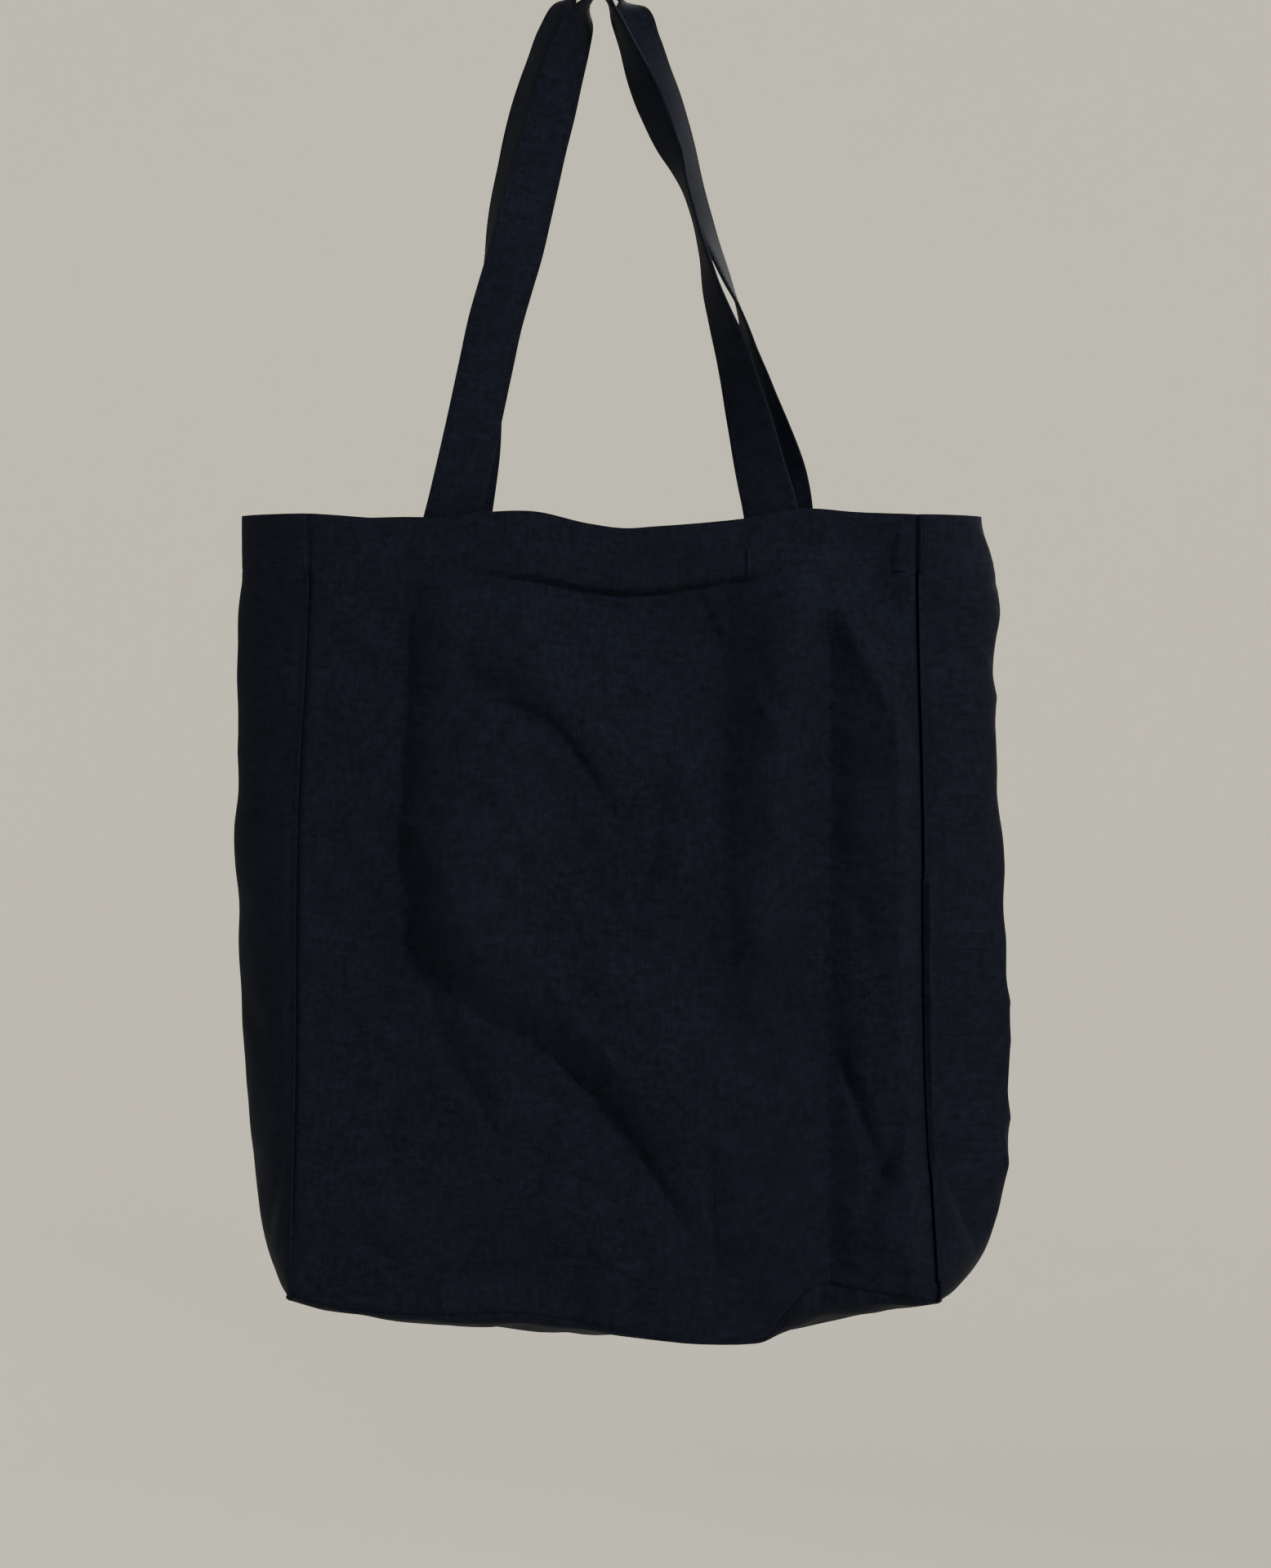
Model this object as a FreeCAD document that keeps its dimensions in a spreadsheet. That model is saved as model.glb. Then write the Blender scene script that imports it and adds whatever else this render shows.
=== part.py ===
import FreeCAD, Part
import math
import os
import Sketcher

# An empty canvas tote bag, hung by both of its handles from one hook.
#
# Millimetres. The origin is the seat on the hook, where the inner handle rests, and +Z is up.
# The front of the bag faces -Y and +X is to the right of someone who looks at the front.
# The bag is sewn from a front and a back panel, a side gusset on the left and on the right,
# and a bottom panel. Its rim is folded inwards into a hem, and the ends of the two handle
# straps are sewn inside that hem. Each handle swings about the top edge of its hem.

# Driving dimensions: the name of the cell, its value and what it means.
SIZES = (
    ("cloth", 1.0, "thickness of one layer of canvas with its nap"),
    ("hem_fold", 1.6, "thickness of the two layers folded inside the rim"),
    ("strap_width", 30.0, "width of a handle strap"),
    ("strap_thickness", 2.0, "thickness of a handle strap, four layers of canvas"),
    ("gusset_half", 50.0, "half of the gusset's flat width"),
    ("sewn_gap", 0.05, "room between cloths that are sewn on each other"),
    ("seam_width", 8.0, "width of a seam allowance"),
    ("seam_thickness", 1.2, "thickness of a seam allowance, two layers pressed flat"),
    ("seam_start", 1.5, "distance from a corner of the bag to its seam allowance"),
    ("thread_width", 0.6, "width of a row of stitches"),
    ("thread_height", 0.3, "how far a row of stitches stands out"),
    ("hem_stitch_rise", 2.0, "height of the hem's row of stitches above the hem's lower edge"),
    ("strap_stitch_inset", 3.0, "distance from a strap's edge to its row of stitches"),
    ("strap_end_rise", 3.0, "height of a sewn strap end above the hem's lower edge"),
    ("box_stitch_size", 24.0, "side of the square of stitches that holds a strap end"),
    ("rim_level", -289.0, "height of the rim"),
    ("rim_left_seam", -161.0, "left seam at the rim"),
    ("rim_right_seam", 175.0, "right seam at the rim"),
    ("rim_left_depth", 33.0, "half of the bag's depth at the rim, on the left"),
    ("rim_right_depth", 33.0, "half of the bag's depth at the rim, on the right"),
    ("hem_level", -320.0, "height of the hem's lower edge"),
    ("hem_left_seam", -160.5, "left seam at the hem's lower edge"),
    ("hem_right_seam", 175.0, "right seam at the hem's lower edge"),
    ("hem_left_depth", 31.0, "half depth at the hem's lower edge, on the left"),
    ("hem_right_depth", 31.0, "half depth at the hem's lower edge, on the right"),
    ("waist_level", -450.0, "height of the middle of the bag"),
    ("waist_left_seam", -166.0, "left seam at the middle"),
    ("waist_right_seam", 178.0, "right seam at the middle"),
    ("waist_left_depth", 35.0, "half depth at the middle, on the left"),
    ("waist_right_depth", 27.0, "half depth at the middle, on the right"),
    ("turn_level", -617.0, "height at which the gussets begin to open towards the bottom"),
    ("turn_left_seam", -167.5, "left seam at that height"),
    ("turn_right_seam", 181.0, "right seam at that height"),
    ("turn_left_depth", 41.5, "half depth at that height, on the left"),
    ("turn_right_depth", 19.0, "half depth at that height, on the right"),
    ("base_level", -716.0, "height of the bottom corners"),
    ("base_left_seam", -169.5, "left bottom corners"),
    ("base_right_seam", 186.0, "right bottom corners"),
    ("base_left_depth", 49.7, "half depth at the bottom, on the left"),
    ("base_right_depth", 49.7, "half depth at the bottom, on the right"),
    ("sag_corner", 5.0, "sag of the bottom panel at its short edges"),
    ("sag_left", 15.0, "sag of the bottom panel left of its lowest place"),
    ("sag_lowest", 26.0, "sag of the bottom panel at its lowest place"),
    ("sag_right", 20.0, "sag of the bottom panel right of its lowest place"),
    ("sag_left_place", -90.0, "place of the left sag along the bag"),
    ("sag_lowest_place", 60.0, "lowest place along the bag"),
    ("sag_right_place", 135.0, "place of the right sag along the bag"),
    ("front_left_strap", -84.0, "middle of the strap end in the front hem, on the left"),
    ("front_right_strap", 95.0, "middle of the strap end in the front hem, on the right"),
    ("back_left_strap", -77.0, "middle of the strap end in the back hem, on the left"),
    ("back_right_strap", 103.5, "middle of the strap end in the back hem, on the right"),
)

# Stations of the inner handle, sewn to the front: place along X, Y and Z, and the turn of the
# strap's outer face about +Z, in degrees. At 0 the outer face looks forward, along -Y, and at
# 90 along +X. Over the hook the outer face looks down, towards the hook.
FRONT_LEFT_LEG = (
    (-79.5, -33.5, -285.0, 0),
    (-76.0, -31.9, -268.0, 0),
    (-68.8, -28.5, -236.0, 0),
    (-62.5, -25.6, -206.0, 0),
    (-57.6, -23.8, -183.0, 2),
    (-52.0, -22.0, -163.0, 5),
    (-45.2, -19.8, -140.0, 14),
    (-40.5, -18.0, -121.0, 21),
    (-35.8, -16.0, -102.0, 27),
    (-31.2, -14.5, -83.0, 32),
    (-26.3, -12.5, -64.0, 36),
    (-21.0, -11.0, -45.0, 44),
    (-15.0, -9.3, -26.0, 53),
    (-10.8, -8.5, -14.0, 64),
)
FRONT_RIGHT_LEG = (
    (7.2, -8.0, -13.0, -86),
    (13.4, -8.5, -26.0, -78),
    (20.5, -9.5, -45.0, -68),
    (28.5, -11.5, -64.0, -65),
    (36.6, -13.5, -83.0, -71),
    (41.5, -14.5, -93.0, -78),
    (46.0, -16.0, -106.0, -88),
    (50.8, -17.5, -121.0, -90),
    (56.2, -19.0, -140.0, -84),
    (61.2, -21.0, -159.0, -74),
    (66.2, -23.0, -178.0, -67),
    (71.0, -25.0, -197.0, -60),
    (76.3, -27.0, -216.0, -51),
    (81.4, -29.0, -236.0, -40),
    (88.6, -31.9, -268.0, -20),
    (92.5, -33.5, -285.0, -3),
)
# Stations of the outer handle, sewn to the back. Its outer face looks up over the hook.
BACK_LEFT_LEG = (
    (-75.5, 33.5, -285.0, 181),
    (-73.2, 31.9, -268.0, 188),
    (-68.4, 30.0, -240.0, 205),
    (-66.8, 26.5, -205.0, 232),
    (-66.6, 23.5, -168.0, 262),
    (-59.0, 18.5, -121.0, 284),
    (-50.5, 15.5, -86.0, 290),
    (-45.0, 13.5, -65.0, 292),
    (-37.0, 10.5, -39.0, 290),
    (-28.5, 9.0, -19.0, 289),
    (-19.5, 8.0, -5.5, 282),
)
BACK_RIGHT_LEG = (
    (16.5, 8.0, -8.0, 61),
    (24.0, 8.5, -25.0, 62),
    (33.0, 10.0, -45.0, 66),
    (40.8, 12.0, -64.0, 69),
    (46.8, 13.5, -83.0, 70),
    (52.0, 15.0, -105.0, 70),
    (56.6, 16.5, -121.0, 71),
    (63.4, 18.0, -140.0, 78),
    (71.2, 20.0, -159.0, 86),
    (75.6, 21.0, -170.0, 92),
    (78.7, 22.0, -180.0, 98),
    (82.6, 24.0, -197.0, 111),
    (88.0, 26.0, -216.0, 122),
    (93.8, 28.5, -236.0, 134),
    (101.5, 31.9, -268.0, 162),
    (103.8, 33.5, -285.0, 178),
)
# The bends over the hook: place along X, Y and Z and the lean of the outer face, in degrees
# from +X towards +Z.
FRONT_BEND = (
    (-6.0, -8.0, -3.6, -38),
    (-1.5, -8.0, 0.7, -70),
    (2.6, -8.0, -1.2, -135),
)
BACK_BEND = (
    (-12.0, 8.0, 2.2, 128),
    (-3.0, 8.0, 5.8, 94),
    (6.0, 8.0, 4.0, 55),
    (11.5, 8.0, -1.0, 28),
)

UP = FreeCAD.Vector(0, 0, 1)
FRONT = -1
BACK = 1
LEFT = -1
RIGHT = 1
SIDE_NAMES = {LEFT: "left", RIGHT: "right"}
FACE_NAMES = {FRONT: "front", BACK: "back"}

document = FreeCAD.newDocument("ToteBag")
sheet = document.addObject("Spreadsheet::Sheet", "Sizes")
for row, (alias, value, meaning) in enumerate(SIZES, start=1):
    sheet.set("A%d" % row, alias)
    sheet.set("B%d" % row, str(value))
    sheet.set("C%d" % row, meaning)
    sheet.setAlias("B%d" % row, alias)
document.recompute()

pieces = []


def cell(alias):
    """The expression that reads one cell of the sheet."""
    return "Sizes." + alias


def value_of(expression):
    """The number that an expression comes to now."""
    return float(sheet.evalExpression(str(expression)))


def blend(first, second, part):
    """The expression for the place a part of the way from first to second."""
    return "(%s) * (1 - (%s)) + (%s) * (%s)" % (first, part, second, part)


def origin_plane(body, role):
    """One of a body's own origin planes."""
    for feature in body.Origin.OriginFeatures:
        if feature.Role == role:
            return feature
    raise ValueError(role)


def new_body(label):
    """An empty body whose label names its file."""
    body = document.addObject("PartDesign::Body", label)
    body.Label = label
    pieces.append(body)
    return body


def polygon_sketch(body, name, role, corners):
    """A closed polygon on one of the body's planes. Each corner is a pair of expressions."""
    sketch = body.newObject("Sketcher::SketchObject", name)
    sketch.AttachmentSupport = (origin_plane(body, role), [""])
    sketch.MapMode = "FlatFace"
    add_polygon(sketch, corners)
    return sketch


def add_polygon(sketch, corners):
    """Adds a closed polygon to a sketch, with each corner bound to the sheet."""
    first = sketch.GeometryCount
    count = len(corners)
    points = [FreeCAD.Vector(value_of(across), value_of(along), 0) for across, along in corners]
    for index in range(count):
        sketch.addGeometry(Part.LineSegment(points[index], points[(index + 1) % count]), False)
    for index in range(count):
        following = first + (index + 1) % count
        sketch.addConstraint(Sketcher.Constraint("Coincident", first + index, 2, following, 1))
    for index, (across, along) in enumerate(corners):
        for kind, expression in (("DistanceX", across), ("DistanceY", along)):
            start = Sketcher.Constraint(kind, -1, 1, first + index, 1, value_of(expression))
            number = sketch.addConstraint(start)
            sketch.setExpression("Constraints[%d]" % number, str(expression))


def loft(body, name, sketches):
    """Joins the sections with straight lines into one solid."""
    feature = body.newObject("PartDesign::AdditiveLoft", name)
    feature.Profile = sketches[0]
    feature.Sections = sketches[1:]
    feature.Ruled = True
    body.Tip = feature


def level_loft(label, sections, role="XY_Plane"):
    """A body lofted through polygons. Each section is the expression of its distance from the
    plane, and its corners."""
    body = new_body(label)
    sketches = []
    for number, (distance, corners) in enumerate(sections, start=1):
        sketch = polygon_sketch(body, "%s_section_%d" % (label, number), role, corners)
        sketch.setExpression("AttachmentOffset.Base.z", str(distance))
        sketches.append(sketch)
    loft(body, label + "_loft", sketches)
    return body


# Sections of the bag at its named levels.

LEVELS = ("rim", "hem", "waist", "turn", "base")


def height(level):
    return cell(level + "_level")


def seam(level, side):
    return cell("%s_%s_seam" % (level, SIDE_NAMES[side]))


def depth(level, side):
    return cell("%s_%s_depth" % (level, SIDE_NAMES[side]))


def spread(level, side):
    """How far the folded gusset stands out past the seams."""
    return "sqrt(%s^2 - %s^2)" % (cell("gusset_half"), depth(level, side))


def wall_section(level, face, inset, outer, inner):
    """A band along the front or back wall, between two distances inwards from its face."""
    corners = []
    for side, offset in ((LEFT, outer), (RIGHT, outer), (RIGHT, inner), (LEFT, inner)):
        across = "%s - (%d) * (%s)" % (seam(level, side), side, inset)
        along = "(%d) * (%s - (%s))" % (face, depth(level, side), offset)
        corners.append((across, along))
    return corners


def fold_section(level, side, outer, inner, inset="0"):
    """A band along a folded gusset, between two distances inwards from its face."""
    corners = []
    for offset, faces in ((outer, (FRONT, BACK)), (inner, (BACK, FRONT))):
        ends = []
        for face in faces:
            across = "%s + (%d) * (%s - (%s) * %s / %s)" % (
                seam(level, side), side, cell("sewn_gap"), offset, depth(level, side),
                cell("gusset_half"))
            along = "(%d) * (%s - %s - (%s) * %s / %s)" % (
                face, depth(level, side), inset, offset, spread(level, side),
                cell("gusset_half"))
            ends.append((across, along))
        tip = "%s + (%d) * (%s + %s - (%s) * %s / %s)" % (
            seam(level, side), side, cell("sewn_gap"), spread(level, side), offset,
            cell("gusset_half"), depth(level, side))
        corners += [ends[0], (tip, "0"), ends[1]]
    return corners


def allowance_section(level, side, face):
    """A seam allowance pressed flat on the inside of a gusset, beside a corner of the bag."""
    near = cell("seam_start")
    far = "(%s + %s)" % (cell("seam_start"), cell("seam_width"))
    low = "(%s + 2 * %s)" % (cell("cloth"), cell("sewn_gap"))
    high = "(%s + 2 * %s + %s)" % (cell("cloth"), cell("sewn_gap"), cell("seam_thickness"))
    corners = []
    for along_wall, off_wall in ((near, low), (far, low), (far, high), (near, high)):
        across = "%s + (%d) * (%s + (%s * %s - %s * %s) / %s)" % (
            seam(level, side), side, cell("sewn_gap"), along_wall, spread(level, side), off_wall,
            depth(level, side), cell("gusset_half"))
        along = "(%d) * (%s - (%s * %s + %s * %s) / %s)" % (
            face, depth(level, side), along_wall, depth(level, side), off_wall,
            spread(level, side), cell("gusset_half"))
        corners.append((across, along))
    return corners


def section_between(upper, lower, drop, corners_at):
    """The section a distance below the upper level, on straight lines to the lower level."""
    part = "(%s) / (%s - %s)" % (drop, height(upper), height(lower))
    corners = []
    for (first_x, first_y), (second_x, second_y) in zip(corners_at(upper), corners_at(lower)):
        corners.append((blend(first_x, second_x, part), blend(first_y, second_y, part)))
    return ("%s - (%s)" % (height(upper), drop), corners)


def sections_through(levels, corners_at):
    return [(height(level), corners_at(level)) for level in levels]


# Panels


def make_wall(face):
    """The front or back panel, from the rim to the bottom corners."""
    inset = "%s + %s" % (cell("cloth"), cell("sewn_gap"))
    level_loft(FACE_NAMES[face] + "_panel", sections_through(
        LEVELS, lambda level: wall_section(level, face, inset, "0", cell("cloth"))))


def make_gusset(side):
    """A side gusset, folded outwards along its middle."""
    level_loft(SIDE_NAMES[side] + "_gusset", sections_through(
        LEVELS, lambda level: fold_section(level, side, "0", cell("cloth"))))


def make_bottom():
    """The bottom panel, which sags between the bottom edges of the other four."""
    stations = (
        ("base_left_seam", "sag_corner"),
        ("sag_left_place", "sag_left"),
        ("sag_lowest_place", "sag_lowest"),
        ("sag_right_place", "sag_right"),
        ("base_right_seam", "sag_corner"),
    )
    profile = ((-1, 0), (-0.62, 0.72), (0, 1), (0.62, 0.72), (1, 0))
    half_depth = cell("base_left_depth")
    sections = []
    for place, sag in stations:
        corners = []
        for layer, points in ((0, profile), (1, profile[::-1])):
            for part, fall in points:
                across = "(%s) * (%s - %d * %s)" % (part, half_depth, layer, cell("cloth"))
                lift = "%d * %s" % (layer if fall else 0, cell("cloth"))
                along = "%s - 2 * %s - %s * %s + %s" % (
                    height("base"), cell("sewn_gap"), fall, cell(sag), lift)
                corners.append((across, along))
        sections.append((cell(place), corners))
    level_loft("bottom_panel", sections, "YZ_Plane")


# Hem


def make_wall_hem(face):
    """The cloth folded inside the rim of the front or back panel."""
    outer = "%s + %s" % (cell("cloth"), cell("sewn_gap"))
    inner = "%s + %s" % (outer, cell("hem_fold"))
    level_loft(FACE_NAMES[face] + "_hem", sections_through(
        LEVELS[:2], lambda level: wall_section(level, face, "2 * " + cell("cloth"), outer, inner)))


def make_gusset_hem(side):
    """The cloth folded inside the rim of a gusset."""
    outer = "%s + %s" % (cell("cloth"), cell("sewn_gap"))
    inner = "%s + %s" % (outer, cell("hem_fold"))
    level_loft(SIDE_NAMES[side] + "_gusset_hem", sections_through(
        LEVELS[:2], lambda level: fold_section(level, side, outer, inner)))


def hem_stitch_sections(corners_at):
    """The two sections of a row of stitches just above the hem's lower edge."""
    hem_height = "%s - %s" % (height("rim"), height("hem"))
    upper = "%s - %s - %s" % (hem_height, cell("hem_stitch_rise"), cell("thread_width"))
    lower = "%s - %s" % (hem_height, cell("hem_stitch_rise"))
    return [section_between("rim", "hem", drop, corners_at) for drop in (upper, lower)]


def make_wall_stitching(face):
    """The row of stitches that shows along the hem of the front or back panel."""
    outer = "-%s - %s" % (cell("sewn_gap"), cell("thread_height"))
    inner = "-%s" % cell("sewn_gap")
    level_loft(FACE_NAMES[face] + "_hem_stitching", hem_stitch_sections(
        lambda level: wall_section(level, face, cell("seam_start"), outer, inner)))


def make_gusset_stitching(side):
    """The row of stitches that shows along the hem of a gusset."""
    outer = "-%s - %s" % (cell("sewn_gap"), cell("thread_height"))
    inner = "-%s" % cell("sewn_gap")
    level_loft(SIDE_NAMES[side] + "_hem_stitching", hem_stitch_sections(
        lambda level: fold_section(level, side, outer, inner)))


# Seams inside the bag


def make_upright_seam(side, face):
    """The seam allowance of a corner of the bag, from the hem down to the bottom seams."""
    def corners_at(level):
        return allowance_section(level, side, face)

    hem_clearance = "2 * " + cell("cloth")
    bottom_clearance = "%s - %s - 1.5 * %s" % (height("turn"), height("base"), cell("seam_width"))
    sections = [section_between("hem", "waist", hem_clearance, corners_at)]
    sections += sections_through(("waist", "turn"), corners_at)
    sections.append(section_between("turn", "base", bottom_clearance, corners_at))
    level_loft("%s_%s_seam" % (FACE_NAMES[face], SIDE_NAMES[side]), sections)


def bottom_seam_sections(corners_at):
    """The two sections of a seam allowance that stands on a bottom edge."""
    span = "%s - %s" % (height("turn"), height("base"))
    upper = "%s - %s" % (span, cell("seam_width"))
    lower = "%s - %s" % (span, cell("sewn_gap"))
    return [section_between("turn", "base", drop, corners_at) for drop in (upper, lower)]


def make_long_bottom_seam(face):
    """The seam allowance between the bottom panel and the front or back panel."""
    outer = "%s + 2 * %s" % (cell("cloth"), cell("sewn_gap"))
    inner = "%s + %s" % (outer, cell("seam_thickness"))
    inset = "1.5 * " + cell("seam_width")
    level_loft(FACE_NAMES[face] + "_bottom_seam", bottom_seam_sections(
        lambda level: wall_section(level, face, inset, outer, inner)))


def make_short_bottom_seam(side):
    """The seam allowance between the bottom panel and a gusset."""
    outer = "%s + 3 * %s" % (cell("cloth"), cell("sewn_gap"))
    inner = "%s + %s" % (outer, cell("seam_thickness"))
    level_loft(SIDE_NAMES[side] + "_bottom_seam", bottom_seam_sections(
        lambda level: fold_section(level, side, outer, inner, cell("seam_width"))))


# Strap ends


def make_strap_end(face, side):
    """The end of a strap, sewn inside the hem."""
    name = "%s_%s_strap" % (FACE_NAMES[face], SIDE_NAMES[side])
    outer = "%s + %s + 3 * %s" % (cell("cloth"), cell("hem_fold"), cell("sewn_gap"))
    inner = "%s + %s" % (outer, cell("strap_thickness"))

    def corners_at(level):
        corners = []
        for edge, offset in ((-1, outer), (1, outer), (1, inner), (-1, inner)):
            across = "%s + (%d) * %s / 2" % (cell(name), edge, cell("strap_width"))
            along = "(%d) * (%s - (%s))" % (face, depth(level, side), offset)
            corners.append((across, along))
        return corners

    length = "%s - %s - %s" % (height("rim"), height("hem"), cell("strap_end_rise"))
    level_loft(name + "_end", [
        (height("rim"), corners_at("rim")),
        section_between("rim", "hem", length, corners_at)])


def make_box_stitch(face, side):
    """The square with a cross in it that holds a strap end, sewn through the hem."""
    name = "%s_%s_strap" % (FACE_NAMES[face], SIDE_NAMES[side])
    body = new_body("%s_%s_box_stitch" % (FACE_NAMES[face], SIDE_NAMES[side]))
    half = "%s / 2" % cell("box_stitch_size")
    line = cell("thread_width")
    hole_far = "(%s - %s)" % (half, line)
    hole_side = "(%s - 1.75 * %s)" % (half, line)
    hole_near = "(0.75 * %s)" % line
    square = [("-%s" % half, "-%s" % half), (half, "-%s" % half), (half, half), ("-%s" % half, half)]
    sketch = polygon_sketch(body, body.Name + "_lines", "XZ_Plane", square)
    for sign in (-1, 1):
        upright = [("-%s" % hole_side, "(%d) * %s" % (sign, hole_far)),
                   (hole_side, "(%d) * %s" % (sign, hole_far)),
                   ("0 * %s" % line, "(%d) * %s" % (sign, hole_near))]
        add_polygon(sketch, upright)
        add_polygon(sketch, [(along, across) for across, along in upright])
    pad = body.newObject("PartDesign::Pad", body.Name + "_pad")
    pad.Profile = sketch
    pad.setExpression("Length", cell("thread_height"))
    body.Tip = pad
    # The pad grows along -Y from its sketch, so on the back the whole body is turned round.
    middle = value_of("(%s + %s) / 2" % (height("rim"), height("hem")))
    half_depth = value_of("(%s + %s) / 2" % (depth("rim", side), depth("hem", side)))
    lean = math.degrees(math.atan2(
        value_of("%s - %s" % (depth("rim", side), depth("hem", side))),
        value_of("%s - %s" % (height("rim"), height("hem")))))
    turn = FreeCAD.Rotation(UP, 0 if face == FRONT else 180)
    tilt = FreeCAD.Rotation(FreeCAD.Vector(1, 0, 0), lean)
    stand_off = half_depth + 2 * value_of(cell("sewn_gap"))
    place = FreeCAD.Vector(value_of(cell(name)), face * stand_off, middle)
    body.Placement = FreeCAD.Placement(place, turn.multiply(tilt))


# Handles


def handle_stations(left_leg, bend, right_leg):
    """The middle and the outer direction of the strap, from its left end to its right end."""
    stations = []
    for x, y, z, turn in left_leg:
        angle = math.radians(turn)
        outward = FreeCAD.Vector(math.sin(angle), -math.cos(angle), 0)
        stations.append((FreeCAD.Vector(x, y, z), outward))
    for x, y, z, lean in bend:
        angle = math.radians(lean)
        outward = FreeCAD.Vector(math.cos(angle), 0, math.sin(angle))
        stations.append((FreeCAD.Vector(x, y, z), outward))
    for x, y, z, turn in right_leg:
        angle = math.radians(turn)
        outward = FreeCAD.Vector(math.sin(angle), -math.cos(angle), 0)
        stations.append((FreeCAD.Vector(x, y, z), outward))
    return stations


def station_placement(stations, index):
    """A frame across the strap: X along its width, Y out of its outer face, Z along it."""
    before = stations[max(index - 1, 0)][0]
    after = stations[min(index + 1, len(stations) - 1)][0]
    middle, outward = stations[index]
    along = (after - before).normalize()
    outward = (outward - along * outward.dot(along)).normalize()
    width = outward.cross(along)
    return FreeCAD.Placement(middle, FreeCAD.Rotation(width, outward, along, "ZXY"))


def strap_loft(body, name, stations, corners):
    """Lofts one cross-section along the whole strap."""
    sketches = []
    for index in range(len(stations)):
        sketch = polygon_sketch(body, "%s_%d" % (name, index + 1), "XY_Plane", corners)
        sketch.AttachmentOffset = station_placement(stations, index)
        sketches.append(sketch)
    loft(body, name + "_loft", sketches)


def make_handle(face, stations):
    """The strap of one handle, and the two rows of stitches along its edges."""
    label = FACE_NAMES[face] + "_handle"
    half_width = "%s / 2" % cell("strap_width")
    half_thick = "%s / 2" % cell("strap_thickness")
    strap = new_body(label + "_strap")
    strap_loft(strap, label + "_strap", stations, [
        ("-%s" % half_width, "-%s" % half_thick), (half_width, "-%s" % half_thick),
        (half_width, half_thick), ("-%s" % half_width, half_thick)])
    # A row of stitches is too slim to loft, so its faces are set one by one.
    low = value_of("%s + %s" % (half_thick, cell("sewn_gap")))
    high = low + value_of(cell("thread_height"))
    outer_line = value_of("%s - %s" % (half_width, cell("strap_stitch_inset")))
    inner_line = outer_line - value_of(cell("thread_width"))
    rows = []
    for start, end in ((-outer_line, -inner_line), (inner_line, outer_line)):
        rows.append(slim_bar(stations, ((start, low), (end, low), (end, high), (start, high))))
    stitching = document.addObject("Part::Feature", label + "_stitching")
    stitching.Label = label + "_stitching"
    stitching.Shape = Part.makeCompound(rows)
    stitching.Placement = FreeCAD.Placement()
    pieces.append(stitching)


def slim_bar(stations, corners):
    """A solid with flat faces that carries one small polygon along the stations."""
    count = len(corners)
    rings = []
    for index in range(len(stations)):
        frame = station_placement(stations, index)
        rings.append([frame.multVec(FreeCAD.Vector(x, y, 0)) for x, y in corners])
    faces = [flat_face(rings[0][::-1]), flat_face(rings[-1])]
    for ring, following in zip(rings, rings[1:]):
        for corner in range(count):
            beside = (corner + 1) % count
            faces.append(flat_face([ring[corner], ring[beside], following[beside]]))
            faces.append(flat_face([ring[corner], following[beside], following[corner]]))
    solid = Part.Solid(Part.Shell(faces))
    if solid.Volume < 0:
        solid.reverse()
    return solid


def flat_face(points):
    return Part.Face(Part.makePolygon(points + points[:1]))


for wall_face in (FRONT, BACK):
    make_wall(wall_face)
    make_wall_hem(wall_face)
    make_wall_stitching(wall_face)
    make_long_bottom_seam(wall_face)
for gusset_side in (LEFT, RIGHT):
    make_gusset(gusset_side)
    make_gusset_hem(gusset_side)
    make_gusset_stitching(gusset_side)
    make_short_bottom_seam(gusset_side)
make_bottom()
for wall_face in (FRONT, BACK):
    for gusset_side in (LEFT, RIGHT):
        make_upright_seam(gusset_side, wall_face)
        make_strap_end(wall_face, gusset_side)
        make_box_stitch(wall_face, gusset_side)
make_handle(FRONT, handle_stations(FRONT_LEFT_LEG, FRONT_BEND, FRONT_RIGHT_LEG))
make_handle(BACK, handle_stations(BACK_LEFT_LEG, BACK_BEND, BACK_RIGHT_LEG))
document.recompute()

for item in document.Objects:
    if "Invalid" in item.State or "Error" in item.State:
        raise RuntimeError("%s failed: %s" % (item.Name, item.State))
os.makedirs("parts", exist_ok=True)
for piece in pieces:
    if piece.Shape.isNull() or not piece.Shape.isValid():
        raise RuntimeError(piece.Label + " has no valid shape")
for piece in pieces:
    piece.Shape.exportStep("parts/%s.step" % piece.Label)
    print("%-28s %9.1f mm3  solids %d" % (piece.Label, piece.Shape.Volume, len(piece.Shape.Solids)))
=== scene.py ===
import math

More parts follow.
